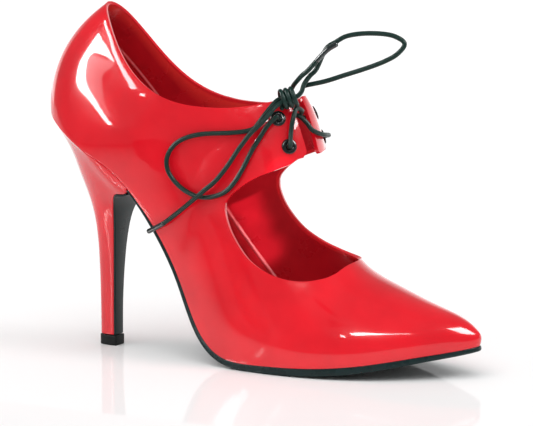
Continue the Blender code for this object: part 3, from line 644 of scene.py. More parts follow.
def feed(tree, node, **inputs):
    """Joins or sets a node's inputs by their names, with _ for a space."""
    for name, value in inputs.items():
        join(tree, value, node.inputs[name.replace("_", " ")])


def new_node(tree, kind, **inputs):
    node = tree.nodes.new(kind)
    feed(tree, node, **inputs)
    return node


def new_finish(name):
    finish = bpy.data.materials.new(name)
    finish.use_nodes = True
    tree = finish.node_tree
    shader = tree.nodes["Principled BSDF"]
    coordinates = tree.nodes.new("ShaderNodeTexCoord")
    return finish, tree, shader, coordinates


def noise(tree, vector, scale, detail=2.0, roughness=0.5):
    node = new_node(
        tree, "ShaderNodeTexNoise", Vector=vector, Scale=scale, Detail=detail, Roughness=roughness
    )
    return node.outputs["Fac"]


def ramp(tree, value, low, high, out_low, out_high):
    """Value between out_low and out_high as another goes from low to high."""
    node = new_node(
        tree, "ShaderNodeMapRange", Value=value, From_Min=low, From_Max=high, To_Min=out_low, To_Max=out_high
    )
    return node.outputs["Result"]


def math_node(tree, operation, first, second=0.0):
    node = tree.nodes.new("ShaderNodeMath")
    node.operation = operation
    for socket, value in zip(node.inputs, (first, second)):
        join(tree, value, socket)
    return node.outputs["Value"]


def times(colour, factor):
    return (colour[0] * factor, colour[1] * factor, colour[2] * factor, 1.0)


def colour_mix(tree, share, first, second):
    """Colour that goes from first to second with share."""
    node = tree.nodes.new("ShaderNodeMix")
    node.data_type = "RGBA"
    feed(tree, node, Factor=share)
    ends = [socket for socket in node.inputs if socket.type == "RGBA"]
    for socket, colour in zip(ends, (first, second)):
        join(tree, colour, socket)
    return next(socket for socket in node.outputs if socket.type == "RGBA")


def shaded(tree, value, low, high, dark, light):
    """Colour between dark and light as value goes from low to high."""
    return colour_mix(tree, ramp(tree, value, low, high, 0.0, 1.0), times(dark, 1.0), times(light, 1.0))


def bump(tree, shader, height, strength, distance, before=None):
    """Relief on a shader, laid over the relief made before."""
    node = new_node(tree, "ShaderNodeBump", Height=height, Strength=strength, Distance=distance)
    if before is not None:
        feed(tree, node, Normal=before)
    feed(tree, shader, Normal=node.outputs["Normal"])
    return node.outputs["Normal"]


def patent_finish(name, colour):
    """Lacquered leather: deep colour under a clear coat, with a faint pull of the skin below."""
    finish, tree, shader, coordinates = new_finish(name)
    place = coordinates.outputs["Object"]
    cloud = noise(tree, place, scale=38.0, detail=3.0)
    smear = noise(tree, place, scale=120.0, detail=3.0)
    pull = noise(tree, place, scale=75.0, detail=1.0, roughness=0.3)
    peel = noise(tree, place, scale=420.0, detail=2.0, roughness=0.4)
    wide = bump(tree, shader, pull, strength=0.10, distance=0.0012)
    bump(tree, shader, peel, strength=0.035, distance=0.0003, before=wide)
    feed(
        tree, shader,
        Base_Color=shaded(tree, cloud, 0.35, 0.65, times(colour, 0.90), times(colour, 1.06)),
        Roughness=ramp(tree, smear, 0.3, 0.7, 0.16, 0.24),
        Specular_IOR_Level=0.15, Coat_Weight=1.0, Coat_Roughness=0.03, Coat_IOR=1.5,
    )
    return finish


def seam_ridge(tree, place, seam):
    """Value of 1 along the line through two places, falling to 0 at the foot of the seam's ridge."""
    ends = to_frame([(x, 0.0, z) for x, z in seam])
    along = unit(ends[1] - ends[0])
    across = np.array([-along[2], 0.0, along[0]])
    offset = tree.nodes.new("ShaderNodeVectorMath")
    offset.operation = "DOT_PRODUCT"
    for socket, value in zip(offset.inputs, (place, across)):
        join(tree, value, socket)
    away = math_node(tree, "SUBTRACT", offset.outputs["Value"], float(ends[0] @ across))
    return ramp(tree, math_node(tree, "ABSOLUTE", away), *LINING_SEAM_RIDGE, 1.0, 0.0)


def lining_finish(name, colour, seam=None):
    """Smooth lining leather, fine grain, soft sheen; inside the upper also turned patent edges, painted light
    under the topline and a seam with a painted highlight.
    """
    finish, tree, shader, coordinates = new_finish(name)
    place = coordinates.outputs["Object"]
    cloud = noise(tree, place, scale=60.0, detail=4.0)
    tone = shaded(tree, cloud, 0.3, 0.7, times(colour, 0.86), times(colour, 1.08))
    grain = new_node(tree, "ShaderNodeTexVoronoi", Vector=place, Scale=1300.0)
    fine = bump(tree, shader, grain.outputs["Distance"], strength=0.10, distance=0.0002)
    if seam:
        # The turned-over patent at the cut edges, and painted light that makes the lining lighter under the
        # topline
        bands = ((COLLAR_PAINTED_LIGHT_LAYER, COLLAR_PAINTED_LIGHT_BAND, COLLAR_PAINTED_LIGHT_TONE), (EDGE_LAYER, TURNED_EDGE, TURNED_TONE))
        for layer, band, lighter in bands:
            inside = tree.nodes.new("ShaderNodeAttribute")
            inside.attribute_name = layer
            share = ramp(tree, inside.outputs["Fac"], *band, 1.0, 0.0)
            tone = colour_mix(tree, share, tone, times(lighter, 1.0))
        ridge = seam_ridge(tree, place, seam)
        bump(tree, shader, ridge, strength=0.8, distance=LINING_SEAM_HEIGHT, before=fine)
        # Painted highlight: the seam's ridge is painted pale pink, as if it caught the light
        tone = colour_mix(tree, ridge, tone, times(LINING_SEAM_HIGHLIGHT_TONE, 1.0))
    feed(
        tree, shader,
        Base_Color=tone, Roughness=ramp(tree, cloud, 0.3, 0.7, 0.24, 0.34),
        Specular_IOR_Level=0.5, Coat_Weight=0.35, Coat_Roughness=0.22,
    )
    return finish


def sole_finish(name, colour, gloss):
    """Black sole: pressed leather board with a fine tooth and rubbed patches."""
    finish, tree, shader, coordinates = new_finish(name)
    place = coordinates.outputs["Object"]
    rubbed = noise(tree, place, scale=90.0, detail=5.0, roughness=0.6)
    tooth = noise(tree, place, scale=1500.0, detail=3.0, roughness=0.6)
    bump(tree, shader, tooth, strength=0.08, distance=0.0002)
    feed(
        tree, shader,
        Base_Color=shaded(tree, rubbed, 0.35, 0.75, colour, times(colour, 1.5)),
        Roughness=ramp(tree, rubbed, 0.3, 0.7, gloss, gloss + 0.16),
        Specular_IOR_Level=0.18,
    )
    return finish


def eyelet_finish(name, colour):
    """Black lacquered metal ring."""
    finish, tree, shader, coordinates = new_finish(name)
    wear = noise(tree, coordinates.outputs["Object"], scale=900.0, detail=3.0, roughness=0.6)
    bump(tree, shader, wear, strength=0.05, distance=0.0001)
    feed(
        tree, shader,
        Base_Color=shaded(tree, wear, 0.4, 0.75, colour, times(colour, 2.2)),
        Roughness=ramp(tree, wear, 0.3, 0.7, 0.14, 0.30),
        Metallic=0.35, Coat_Weight=0.8, Coat_Roughness=0.08,
    )
    return finish


def cord_finish(name, colour, strands=8.0, lay_mm=4.2):
    """Round waxed cord: a fine braid on the piece's own map, u in millimetres along it and v once around; its
    colour is darker in the braid's grooves as painted shade and lighter on the crests.
    """
    finish, tree, shader, coordinates = new_finish(name)
    split = new_node(tree, "ShaderNodeSeparateXYZ", Vector=coordinates.outputs["UV"])
    turns = math_node(tree, "MULTIPLY", split.outputs["Y"], strands * math.pi)
    run = math_node(tree, "MULTIPLY", split.outputs["X"], strands * math.pi / lay_mm)
    one_way = math_node(tree, "SINE", math_node(tree, "ADD", turns, run))
    other_way = math_node(tree, "SINE", math_node(tree, "SUBTRACT", turns, run))
    braid = math_node(tree, "MULTIPLY", math_node(tree, "MULTIPLY", one_way, other_way), 0.5)
    fibre = noise(tree, coordinates.outputs["Object"], scale=700.0, detail=4.0, roughness=0.6)
    height = math_node(tree, "ADD", braid, math_node(tree, "MULTIPLY", fibre, 0.6))
    bump(tree, shader, height, strength=0.30, distance=0.00012)
    feed(
        tree, shader,
        # Partly painted shade: the colour follows the braid's relief, darker in its grooves and lighter on
        # its crests, with random fibre tone
        Base_Color=shaded(tree, height, -0.3, 0.8, times(colour, 0.65), times(colour, 1.35)),
        Roughness=ramp(tree, fibre, 0.3, 0.7, 0.26, 0.40),
        Specular_IOR_Level=0.25, Coat_Weight=0.12, Coat_Roughness=0.25,
    )
    return finish


def aglet_finish(name, colour):
    """Glossy dipped tip of a lace, smooth with faint streaks along it."""
    finish, tree, shader, coordinates = new_finish(name)
    streak = noise(tree, coordinates.outputs["Object"], scale=260.0, detail=3.0, roughness=0.5)
    bump(tree, shader, streak, strength=0.06, distance=0.0002)
    feed(
        tree, shader,
        Base_Color=shaded(tree, streak, 0.3, 0.7, colour, times(colour, 1.6)),
        Roughness=ramp(tree, streak, 0.3, 0.7, 0.12, 0.22),
        Coat_Weight=0.9, Coat_Roughness=0.06,
    )
    return finish


def finish_for(kind, colours):
    """The finish of this kind, made once."""
    makers = {
        "patent_leather": lambda name: patent_finish(name, colours.patent),
        "lining_leather": lambda name: lining_finish(name, colours.lining, LINING_SEAM),
        "insole_leather": lambda name: lining_finish(name, colours.insole),
        "sole_board": lambda name: sole_finish(name, colours.sole, 0.20),
        "breast_board": lambda name: sole_finish(name, colours.sole, 0.24),
        "top_piece_rubber": lambda name: sole_finish(name, colours.top_piece, 0.45),
        "eyelet_lacquer": lambda name: eyelet_finish(name, colours.eyelet),
        "waxed_cord": lambda name: cord_finish(name, colours.cord),
        "dipped_tip": lambda name: aglet_finish(name, colours.aglet),
    }
    return bpy.data.materials.get(kind) or makers[kind](kind)


def tube(points, radii, around):
    """Bmesh of a tube along points on the last with a radius at each, mapped u along it and v around."""
    tangents = unit(np.gradient(points, axis=0))
    side = Vector(tangents[0]).orthogonal().normalized()
    sides = []
    for before, after in zip(np.vstack([tangents[:1], tangents]), tangents):
        side = Vector(before).rotation_difference(Vector(after)) @ side
        sides.append(np.array(side))
    sides = np.array(sides)
    across = np.cross(tangents, sides)
    angle = np.arange(around) / around * 2 * math.pi
    spokes = np.cos(angle)[None, :, None] * sides[:, None] + np.sin(angle)[None, :, None] * across[:, None]
    bm = ring_loft(points[:, None] + radii[:, None, None] * spokes, run=run_along(points))
    bmesh.ops.recalc_face_normals(bm, faces=bm.faces[:])
    return bm


def rounded_ends(points, radius):
    """Points and radii of a tube whose ends close in a flattened dome."""
    angles = np.linspace(0.0, math.pi / 2, DOME_STEPS)
    domes = np.sin(angles)
    depths = (1 - np.cos(angles)) * DOME_DEPTH * radius
    run = run_along(points)
    middle = points[(run > DOME_CLEAR * radius) & (run < run[-1] - DOME_CLEAR * radius)]
    head = points[0] + unit(points[1] - points[0]) * depths[:, None]
    tail = (points[-1] - unit(points[-1] - points[-2]) * depths[:, None])[::-1]
    radii = np.concatenate([domes * radius, np.full(len(middle), radius), domes[::-1] * radius])
    return np.vstack([head, middle, tail]), radii


def length_property(name, description, default):
    return FloatProperty(name=name, description=description, default=default, unit="LENGTH", precision=4)


def angle_property(name, description, degrees):
    return FloatProperty(name=name, description=description, default=math.radians(degrees), subtype="ANGLE")


def share_property(name, description, default, most):
    return FloatProperty(name=name, description=description, default=default, subtype="FACTOR", max=most)


def strength_property(name, description, default):
    return FloatProperty(name=name, description=description, default=default)


def colour_property(name, description, default):
    return FloatVectorProperty(
        name=name, description=description, subtype="COLOR", size=3, default=default, min=0, max=1
    )


class PumpSizes(PropertyGroup):
    wall: length_property("Wall", "Thickness of the upper with its lining", 0.0018)
    rim: length_property("Rim", "Rounding of the cut edges of the upper", 0.00085)
    columns: IntProperty(name="Columns", description="Faces around the upper", default=440, min=96)
    ribs: IntProperty(name="Ribs", description="Faces from the sole to the crown", default=88, min=16)
    crease: share_property("Crease", "How deep the soft troughs are, as a share", 1.0, 2.0)
    lace: length_property("Lace", "Diameter of the lace", 0.0023)
    heel_rounding: length_property("Heel rounding", "Rounding of the heel's edges", 0.0004)


class PumpColours(PropertyGroup):
    patent: colour_property("Patent", "Lacquered leather of the upper and heel", (0.80, 0.007, 0.018))
    lining: colour_property("Lining", "Lining leather inside the upper", (0.56, 0.008, 0.018))
    insole: colour_property("Insole", "Leather of the insole", (0.70, 0.014, 0.028))
    sole: colour_property("Sole", "Outsole and breast of the heel", (0.0080, 0.0190, 0.0195))
    top_piece: colour_property("Top piece", "Foot of the heel", (0.004, 0.006, 0.006))
    eyelet: colour_property("Eyelets", "Lacquered metal rings", (0.006, 0.009, 0.009))
    cord: colour_property("Lace", "Waxed cord", (0.006, 0.028, 0.022))
    aglet: colour_property("Lace tips", "Dipped tips of the lace", (0.010, 0.016, 0.016))


class PumpStage(PropertyGroup):
    floor: colour_property("Floor", "Colour of the pale floor", (0.94, 0.94, 0.94))
    azimuth: angle_property("Azimuth", "Side that the camera looks from", 26.0)
    elevation: angle_property("Elevation", "How far the camera looks down", 7.0)
    distance: length_property("Distance", "From the camera to its target", 1.0)
    floor_gloss: share_property("Floor gloss", "Share of the light that the floor mirrors", 0.10, 1.0)
    floor_front: length_property("Floor front", "Where the floor that the shoe mirrors ends", -0.14)
    wide_light: strength_property("Wide light", "Strength of the wide light from the front", 1.6)
    key_light: strength_property("Key light", "Strength of the light from the side of the toe", 0.5)
    fill: strength_property("Fill", "Strength of the light from all round", 0.50)
    lining_spot: strength_property("Lining spot", "Watts of each light through the cut-out", 6.5)
    room: strength_property("Room", "Brightness of the room that the lacquer mirrors", 0.20)


class PUMP_OT_stage(Operator):
    """Camera at the side of the shoe, pale floor and soft studio light"""

    bl_idname = "pump.stage"
    bl_label = "Stage"

    def execute(self, context):
        settings = context.scene.pump_stage
        add_camera(context.scene, settings)
        add_floor(settings)
        add_lights(context.scene, settings)
        context.scene.view_settings.view_transform = "Standard"
        return {"FINISHED"}


CAMERA_TARGET = (86.1, 0.0, 72.0)
CAMERA_LENS = 138.46
CAMERA_SENSOR = 36.0
CAMERA_REACH = 60.0


def add_camera(scene, settings):
    data = bpy.data.cameras.new("camera")
    data.lens = CAMERA_LENS
    data.sensor_width = CAMERA_SENSOR
    data.sensor_fit = "HORIZONTAL"
    data.clip_end = CAMERA_REACH
    camera = bpy.data.objects.new("camera", data)
    back = Vector(direction(settings.azimuth, settings.elevation))
    camera.location = Vector(to_frame(CAMERA_TARGET)) + back * settings.distance
    camera.rotation_euler = (-back).to_track_quat("-Z", "Y").to_euler()
    scene.collection.objects.link(camera)
    scene.camera = camera


# The stage's grids, how far the floor reaches, and the soft end of the part of it that the lacquer mirrors:
# its length, half width and height over the floor in metres, and its brightness
GRID_CELLS = 24
FLOOR_REACH = 30.0
FLOOR_FADE = 0.22
FLOOR_FADE_HALF = 2.0
FLOOR_FADE_RISE = 0.0004
FLOOR_GLOW = 0.95
WHITE = (1.0, 1.0, 1.0, 1.0)


def set_surface(tree, shader, node):
    """Makes a node the surface of its finish, in place of the shader."""
    tree.nodes.remove(shader)
    tree.links.new(node.outputs[0], tree.nodes["Material Output"].inputs["Surface"])


def add_stage_piece(name, bm, finish):
    piece = new_object(name, bm, [finish])
    return piece


def show_in_mirrors_only(piece):
    piece.visible_camera = False
    piece.visible_diffuse = False
    piece.visible_shadow = False


def add_floor(settings):
    """Wide pale floor with a faint even gloss; the shoe mirrors only the part behind its front."""
    finish, tree, shader, coordinates = new_finish("floor_white")
    cloud = noise(tree, coordinates.outputs["Object"], scale=3.0)
    tone = shaded(tree, cloud, 0.3, 0.7, times(settings.floor, 0.985), settings.floor)
    matt = new_node(tree, "ShaderNodeBsdfDiffuse", Color=tone)
    gloss = new_node(tree, "ShaderNodeBsdfGlossy", Color=WHITE, Roughness=0.06)
    both = tree.nodes.new("ShaderNodeMixShader")
    for socket, value in zip(both.inputs, (settings.floor_gloss, matt.outputs[0], gloss.outputs[0])):
        join(tree, value, socket)
    set_surface(tree, shader, both)
    front = settings.floor_front
    for name, near, far in (("floor", front, FLOOR_REACH), ("floor_apron", -FLOOR_REACH, front)):
        bm = bmesh.new()
        bmesh.ops.create_grid(bm, x_segments=GRID_CELLS, y_segments=GRID_CELLS, size=FLOOR_REACH)
        for vert in bm.verts:
            vert.co.y = near + (far - near) * (vert.co.y / (2 * FLOOR_REACH) + 0.5)
        piece = add_stage_piece(name, bm, finish)
        piece.visible_glossy = name == "floor"
    add_floor_fade(front)


def add_floor_fade(front):
    """Soft end of the floor that the lacquer mirrors, seen in reflections only."""
    finish, tree, shader, coordinates = new_finish("floor_fade")
    split = new_node(tree, "ShaderNodeSeparateXYZ", Vector=coordinates.outputs["Object"])
    glow = ramp(tree, split.outputs["Y"], front - FLOOR_FADE, front, 0.0, FLOOR_GLOW)
    set_surface(tree, shader, new_node(tree, "ShaderNodeEmission", Color=WHITE, Strength=glow))
    bm = bmesh.new()
    bmesh.ops.create_grid(bm, x_segments=GRID_CELLS, y_segments=GRID_CELLS, size=1.0)
    for vert in bm.verts:
        y = front + FLOOR_FADE * (vert.co.y - 1) / 2
        vert.co = (vert.co.x * FLOOR_FADE_HALF, y, FLOOR_FADE_RISE)
    show_in_mirrors_only(add_stage_piece("floor_fade", bm, finish))


# Places on the shoe that see the panels, and the places on the lining that the spots light
COUNTER = (0.0, -20.0, 140.0)
VAMP = (155.0, -27.0, 22.0)
QUARTER = (116.5, -28.3, 43.2)
STRAP = (89.0, -18.0, 121.0)
WAIST = (90.0, -31.4, 39.0)
LINING_LIT = ((54.5, 33.0, 68.0), (60.0, 33.0, 57.6), (67.0, 33.0, 46.8))

# Lit panels and black cards that the lacquer mirrors: the place that sees each, its distance, its brightness,
# what is left of that on its right edge and at its lower end, and its left and right edge as directions from
# that place, in degrees to the right of the front and up
PANELS = (
    (
        "window", COUNTER, 1.3, 26.0, 1.0, 1.0,
        ((-58.4, 33.6), (-58.9, 30.7), (-60.1, 27.9), (-60.7, 25.5), (-62.0, 22.6), (-61.1, 19.0),
         (-57.8, 14.5), (-52.4, 12.0), (-46.0, 9.8), (-40.7, 6.4), (-36.9, 1.7), (-34.8, -1.8)),
        ((-57.0, 33.6), (-50.0, 32.2), (-48.6, 28.2), (-54.3, 25.5), (-53.6, 23.0), (-51.4, 19.6),
         (-49.1, 16.4), (-45.1, 13.4), (-40.4, 9.7), (-37.4, 5.8), (-35.0, 1.4), (-33.4, -1.9)),
    ),
    (
        "window_arm", COUNTER, 1.31, 26.0, 1.0, 0.9,
        ((-50.0, 27.2), (-44.0, 27.4), (-40.0, 27.1), (-36.4, 26.2)),
        ((-50.0, 32.2), (-44.8, 31.2), (-41.0, 29.8), (-36.0, 26.6)),
    ),
    (
        "window_glow", COUNTER, 1.35, 4.5, 0.7, 0.5,
        ((-54.3, 26.0), (-53.6, 23.0), (-49.1, 16.4), (-45.1, 13.4), (-40.4, 9.7), (-36.0, 3.6)),
        ((-36.4, 26.0), (-36.6, 24.0), (-39.6, 20.0), (-38.1, 14.9), (-35.9, 7.8), (-33.5, 1.9)),
    ),
    (
        "topline_strip", COUNTER, 1.3, 22.0, 0.8, 0.9,
        ((-64.5, 38.4), (-46.3, 34.2), (-39.4, 30.3), (-35.1, 26.5), (-31.9, 22.7), (-29.9, 19.6),
         (-29.2, 17.4)),
        ((-62.5, 39.0), (-44.9, 35.0), (-38.1, 31.3), (-33.9, 27.5), (-30.7, 23.8), (-28.5, 20.6),
         (-27.6, 18.2)),
    ),
    (
        "topline_dot", COUNTER, 1.3, 22.0, 1.0, 1.0,
        ((-27.0, 16.9), (-26.8, 15.6)), ((-25.7, 16.9), (-25.5, 15.6)),
    ),
    (
        "vamp_streak", VAMP, 1.2, 26.0, 1.0, 1.0,
        ((4.3, 33.6), (13.0, 38.8), (21.6, 41.6), (31.0, 42.7), (41.0, 42.4)),
        ((6.3, 30.0), (13.8, 34.4), (22.2, 38.4), (31.4, 41.2), (41.0, 41.4)),
    ),
    ("vamp_dot", VAMP, 1.2, 22.0, 1.0, 1.0, ((-0.8, 27.2), (-0.4, 24.6)), ((1.8, 27.2), (2.0, 24.6))),
    ("quarter_card", QUARTER, 0.2, 0.0, 1.0, 1.0, ((2.5, 39.0), (2.5, 28.0)), ((17.5, 39.0), (17.5, 28.0))),
    ("strap_card", STRAP, 0.15, 0.0, 1.0, 1.0, ((-2.0, 36.0), (-2.0, 19.0)), ((22.0, 36.0), (22.0, 19.0))),
    ("waist_card", WAIST, 0.2, 0.0, 1.0, 1.0, ((-45.0, 9.0), (-45.0, -3.0)), ((-29.0, 9.0), (-29.0, -3.0))),
    ("toe_panel", VAMP, 1.2, 18.0, 1.0, 0.9, ((80.0, 55.0), (78.0, 33.0)), ((116.0, 55.0), (110.0, 33.0))),
    ("backdrop", VAMP, 28.0, 0.2, 1.0, 11.0, ((122.0, 28.0), (122.0, -2.0)), ((258.0, 28.0), (258.0, -2.0))),
)
PANEL_STRIDE = 0.25

# Suns, as spread, turn to the right of the front and rise, and the spots through the cut-out, all in degrees;
# then the edge of a spot as a share, its own radius and its distance from the lining in metres
WIDE_LIGHT = (70.0, 12.0, 64.0)
KEY_LIGHT = (21.0, 97.0, 46.0)
SPOT_WIDTH = 2.5
SPOT_TURN = 44.0
SPOT_RISE = 20.0
SPOT_EDGE = 0.8
SPOT_RADIUS = 0.004
SPOT_DISTANCE = 0.43


def add_panel(name, eye, distance, strength, right_share, low_share, left, right):
    """Panel between two edges, seen in reflections only; its light changes to the right and downwards."""
    finish, tree, shader, coordinates = new_finish(name)
    split = new_node(tree, "ShaderNodeSeparateXYZ", Vector=coordinates.outputs["UV"])
    aside = ramp(tree, split.outputs["X"], 0.0, 1.0, 1.0, right_share)
    below = ramp(tree, split.outputs["Y"], 0.0, 1.0, strength, strength * low_share)
    glow = math_node(tree, "MULTIPLY", aside, below)
    set_surface(tree, shader, new_node(tree, "ShaderNodeEmission", Color=WHITE, Strength=glow))
    bm = bmesh.new()
    bmesh.ops.create_grid(bm, x_segments=GRID_CELLS, y_segments=GRID_CELLS, size=1.0, calc_uvs=True)
    layer = bm.loops.layers.uv.verify()
    edges = [open_curve(np.insert(np.array(edge), 2, 0.0, axis=1), PANEL_STRIDE) for edge in (left, right)]
    for vert in bm.verts:
        across, down = (vert.co.x + 1) / 2, (1 - vert.co.y) / 2
        ends = [edge[int(round(down * (len(edge) - 1)))] for edge in edges]
        turn, rise = np.radians(ends[0] + (ends[1] - ends[0]) * across)[:2]
        for loop in vert.link_loops:
            loop[layer].uv = (across, down)
        vert.co = Vector(to_frame(eye) + direction(turn, rise) * distance)
    show_in_mirrors_only(add_stage_piece(name, bm, finish))


def place_light(scene, data, turn, rise, aim=(0.0, 0.0, 0.0), distance=0.0):
    """Light that shines on a place of the frame, from turn degrees to the right of the front and rise up."""
    light = bpy.data.objects.new(data.name, data)
    way = Vector(direction(math.radians(turn), math.radians(rise)))
    light.location = Vector(aim) + way * distance
    light.rotation_euler = way.to_track_quat("Z", "Y").to_euler()
    scene.collection.objects.link(light)
    return light


def add_sun(scene, name, strength, spread, turn, rise):
    sun = bpy.data.lights.new(name, "SUN")
    sun.energy = strength
    sun.angle = math.radians(spread)
    return place_light(scene, sun, turn, rise)


def add_spot(scene, name, power, aim):
    """Narrow soft light through the cut-out onto the far lining."""
    spot = bpy.data.lights.new(name, "SPOT")
    spot.energy = power
    spot.spot_size = math.radians(SPOT_WIDTH)
    spot.spot_blend = SPOT_EDGE
    spot.shadow_soft_size = SPOT_RADIUS
    light = place_light(scene, spot, SPOT_TURN, SPOT_RISE, to_frame(aim), SPOT_DISTANCE)
    light.visible_glossy = False


def add_lights(scene, settings):
    world = bpy.data.worlds.new("studio")
    world.use_nodes = True
    tree = world.node_tree
    rays = tree.nodes.new("ShaderNodeLightPath")
    strength = ramp(tree, rays.outputs["Is Diffuse Ray"], 0.0, 1.0, settings.room, settings.fill)
    feed(tree, tree.nodes["Background"], Color=WHITE, Strength=strength)
    scene.world = world
    wide = add_sun(scene, "wide_light", settings.wide_light, *WIDE_LIGHT)
    wide.visible_glossy = False
    add_sun(scene, "key_light", settings.key_light, *KEY_LIGHT)
    for values in PANELS:
        add_panel(*values)
    for number, aim in enumerate(LINING_LIT):
        add_spot(scene, f"lining_spot_{number}", settings.lining_spot, aim)


class PUMP_OT_lace(Operator):
    """Waxed lace through the eyelets, tied in a bow with two loops and two tipped ends"""

    bl_idname = "pump.lace"
    bl_label = "Lace"

    def execute(self, context):
        add_lace(context.scene.pump_sizes, context.scene.pump_colours)
        return {"FINISHED"}


def knot_run():
    """Run of the wraps of the knot, a flattened helix around its axis."""
    axis = Vector(KNOT_AXIS).normalized()
    deep = axis.cross(Vector((0.0, 0.0, 1.0))).normalized()
    tall = deep.cross(axis)
    places = []
    for turn in np.arange(-KNOT_TURNS / 2, KNOT_TURNS / 2 + 0.01, 1 / KNOT_STEPS):
        angle = 2 * math.pi * turn
        spoke = tall * (KNOT_RADIUS * math.cos(angle)) + deep * (KNOT_DEPTH * math.sin(angle))
        places.append(np.array(Vector(KNOT_CENTRE) + spoke + axis * (KNOT_PITCH * turn)))
    return np.array(places)


def half_run(last, below, above, between, stride):
    """Run of one half of the lace, up out of a lower eyelet and from below into an upper one."""
    mouths = {name: last.find(side, y, z) for name, side, y, z in EYELETS}
    (low, low_out), (high, high_out) = mouths[below], mouths[above]
    start = [low - low_out * EYELET_THROUGH, low, low + low_out * EYELET_OVER]
    end = [high - high_out * EYELET_UNDER, high + high_out * EYELET_PAST]
    return open_curve(start + [np.array(place) for place in between] + end, stride)


def add_lace(sizes, colours):
    last = Last()
    diameter = sizes.lace / MM
    stride = LACE_STRIDE * diameter
    runs = {
        "lace_crossing": half_run(last, "eyelet_outer_lower", "eyelet_inner_upper", OUTER_HALF, stride),
        "lace_crossing_under": half_run(last, "eyelet_inner_lower", "eyelet_outer_upper", INNER_HALF, stride),
        "lace_knot": knot_run(),
        "lace_loop_left": open_curve(LOOP_LEFT, stride),
        "lace_loop_right": open_curve(LOOP_RIGHT, stride),
        "lace_end_left": open_curve(END_LEFT, stride),
        "lace_end_right": open_curve(END_RIGHT, stride),
    }
    nodes = frame["nodes"]
    for name, points in runs.items():
        path, radii = rounded_ends(points, diameter / 2)
        stands_for = [name] if name in nodes else []
        bm = tube(path, radii, LACE_AROUND)
        cord = add_piece(name, bm, [finish_for("waxed_cord", colours)], "cord_black", *stands_for)
        tips = []
        if name in AGLET_LENGTHS:
            tips = [add_aglet(name, points, diameter, colours)]


def add_aglet(name, points, diameter, colours):
    """Dipped tip over the last of an end, a little thicker than the cord and rounded at its tip."""
    run = run_along(points)
    sleeve = points[run > run[-1] - AGLET_LENGTHS[name]]
    tip = sleeve[-1] + unit(sleeve[-1] - sleeve[-2]) * AGLET_PAST
    path, radii = rounded_ends(np.vstack([sleeve, tip]), diameter / 2 + AGLET_WALL)
    bm = tube(path, radii, AGLET_AROUND)
    return add_piece(name.replace("end", "tip"), bm, [finish_for("dipped_tip", colours)], "cord_black")


class PUMP_OT_upper(Operator):
    """Patent upper in one piece, open at the collar, the cut-out and underneath, with its lining"""

    bl_idname = "pump.upper"
    bl_label = "Upper"

    def execute(self, context):
        add_upper(context.scene.pump_sizes, context.scene.pump_colours)
        return {"FINISHED"}


def add_upper(sizes, colours):
    last = Last()
    edges = Edges(last)
    bm, places = trimmed_sheet(last, edges, sizes.columns, sizes.ribs)
    points = last.surface(places[:, 0], places[:, 1])
    normals = last.normals(places[:, 0], np.clip(places[:, 1], *RIB_ENDS))
    points = points - normals * crease_depth(points, sizes.crease)[:, None]
    for vert, point in zip(bm.verts, to_frame(points)):
        vert.co = Vector(point)
    edge_layer = bm.verts.layers.float.new(EDGE_LAYER)
    # Painted light: the lining is painted lighter where this measure is small, near the topline, and less so
    # forward and lower down
    painted_light_layer = bm.verts.layers.float.new(COLLAR_PAINTED_LIGHT_LAYER)
    for vert, point, inside in zip(bm.verts, points, edges.at(points)):
        vert[edge_layer] = inside
        forward = max(point[0] - COLLAR_PAINTED_LIGHT_X, 0.0) * COLLAR_PAINTED_LIGHT_SLOPE
        vert[painted_light_layer] = inside + forward + max(COLLAR_PAINTED_LIGHT_Z - point[2], 0.0)
    bmesh.ops.remove_doubles(bm, verts=bm.verts[:], dist=1e-5)
    bmesh.ops.recalc_face_normals(bm, faces=bm.faces[:])
    patent, lining = finish_for("patent_leather", colours), finish_for("lining_leather", colours)
    upper = add_piece("upper", bm, [patent, lining], "patent_red", "upper")
    wall = upper.modifiers.new("wall", "SOLIDIFY")
    wall.thickness = sizes.wall
    wall.offset = -1.0
    wall.use_quality_normals = True
    wall.material_offset = 1
    wall.material_offset_rim = 0
    round_edges(upper, sizes.rim)


class PUMP_OT_sole(Operator):
    """Thin outsole, flat on the floor under the ball of the foot"""

    bl_idname = "pump.sole"
    bl_label = "Outsole"

    def execute(self, context):
        add_outsole(context.scene.pump_colours)
        return {"FINISHED"}


def sole_edge(x):
    """How far the outsole's edge stands outside the feather edge at x."""
    share = np.clip((x - SOLE_EDGE_TURN_X[0]) / (SOLE_EDGE_TURN_X[1] - SOLE_EDGE_TURN_X[0]), 0.0, 1.0)
    return -SOLE_EDGE_IN + (SOLE_EDGE_IN + SOLE_EDGE_OUT) * share


def sole_side(last, t, side):
    """Rows of points down one side of the outsole, from its top edge round the corner onto the tread."""
    rows = last.rows(t)
    thick = rows["sole"]
    turn = np.linspace(0.0, math.pi / 2, SOLE_CORNER_STEPS)
    lower = np.minimum(SOLE_ROUNDING, SOLE_ROUNDING_SHARE * thick)
    insets = [SOLE_TOP_ROUNDING * (1 - np.sin(angle)) + 0 * thick for angle in turn[::2]]
    drops = [SOLE_TOP_ROUNDING * (1 - np.cos(angle)) + 0 * thick for angle in turn[::2]]
    insets += [lower * (1 - np.cos(angle)) for angle in turn]
    drops += [thick - lower * (1 - np.sin(angle)) for angle in turn]
    lines = []
    for inset, drop in zip(insets, drops):
        edge, up = last.bottom(t * side, inset - sole_edge(rows["base_x"]))
        lines.append(edge - up * (SEAM + drop)[:, None])
    tread = lines[-1]
    flat = (tread[:, 0] >= TREAD_X[0]) & (tread[:, 0] <= TREAD_X[1])
    tread[:, 2] = np.where(flat, 0.0, tread[:, 2])
    for line in lines:
        line[:, 2] = np.maximum(line[:, 2], 0.0)
    return np.stack(lines, axis=1)


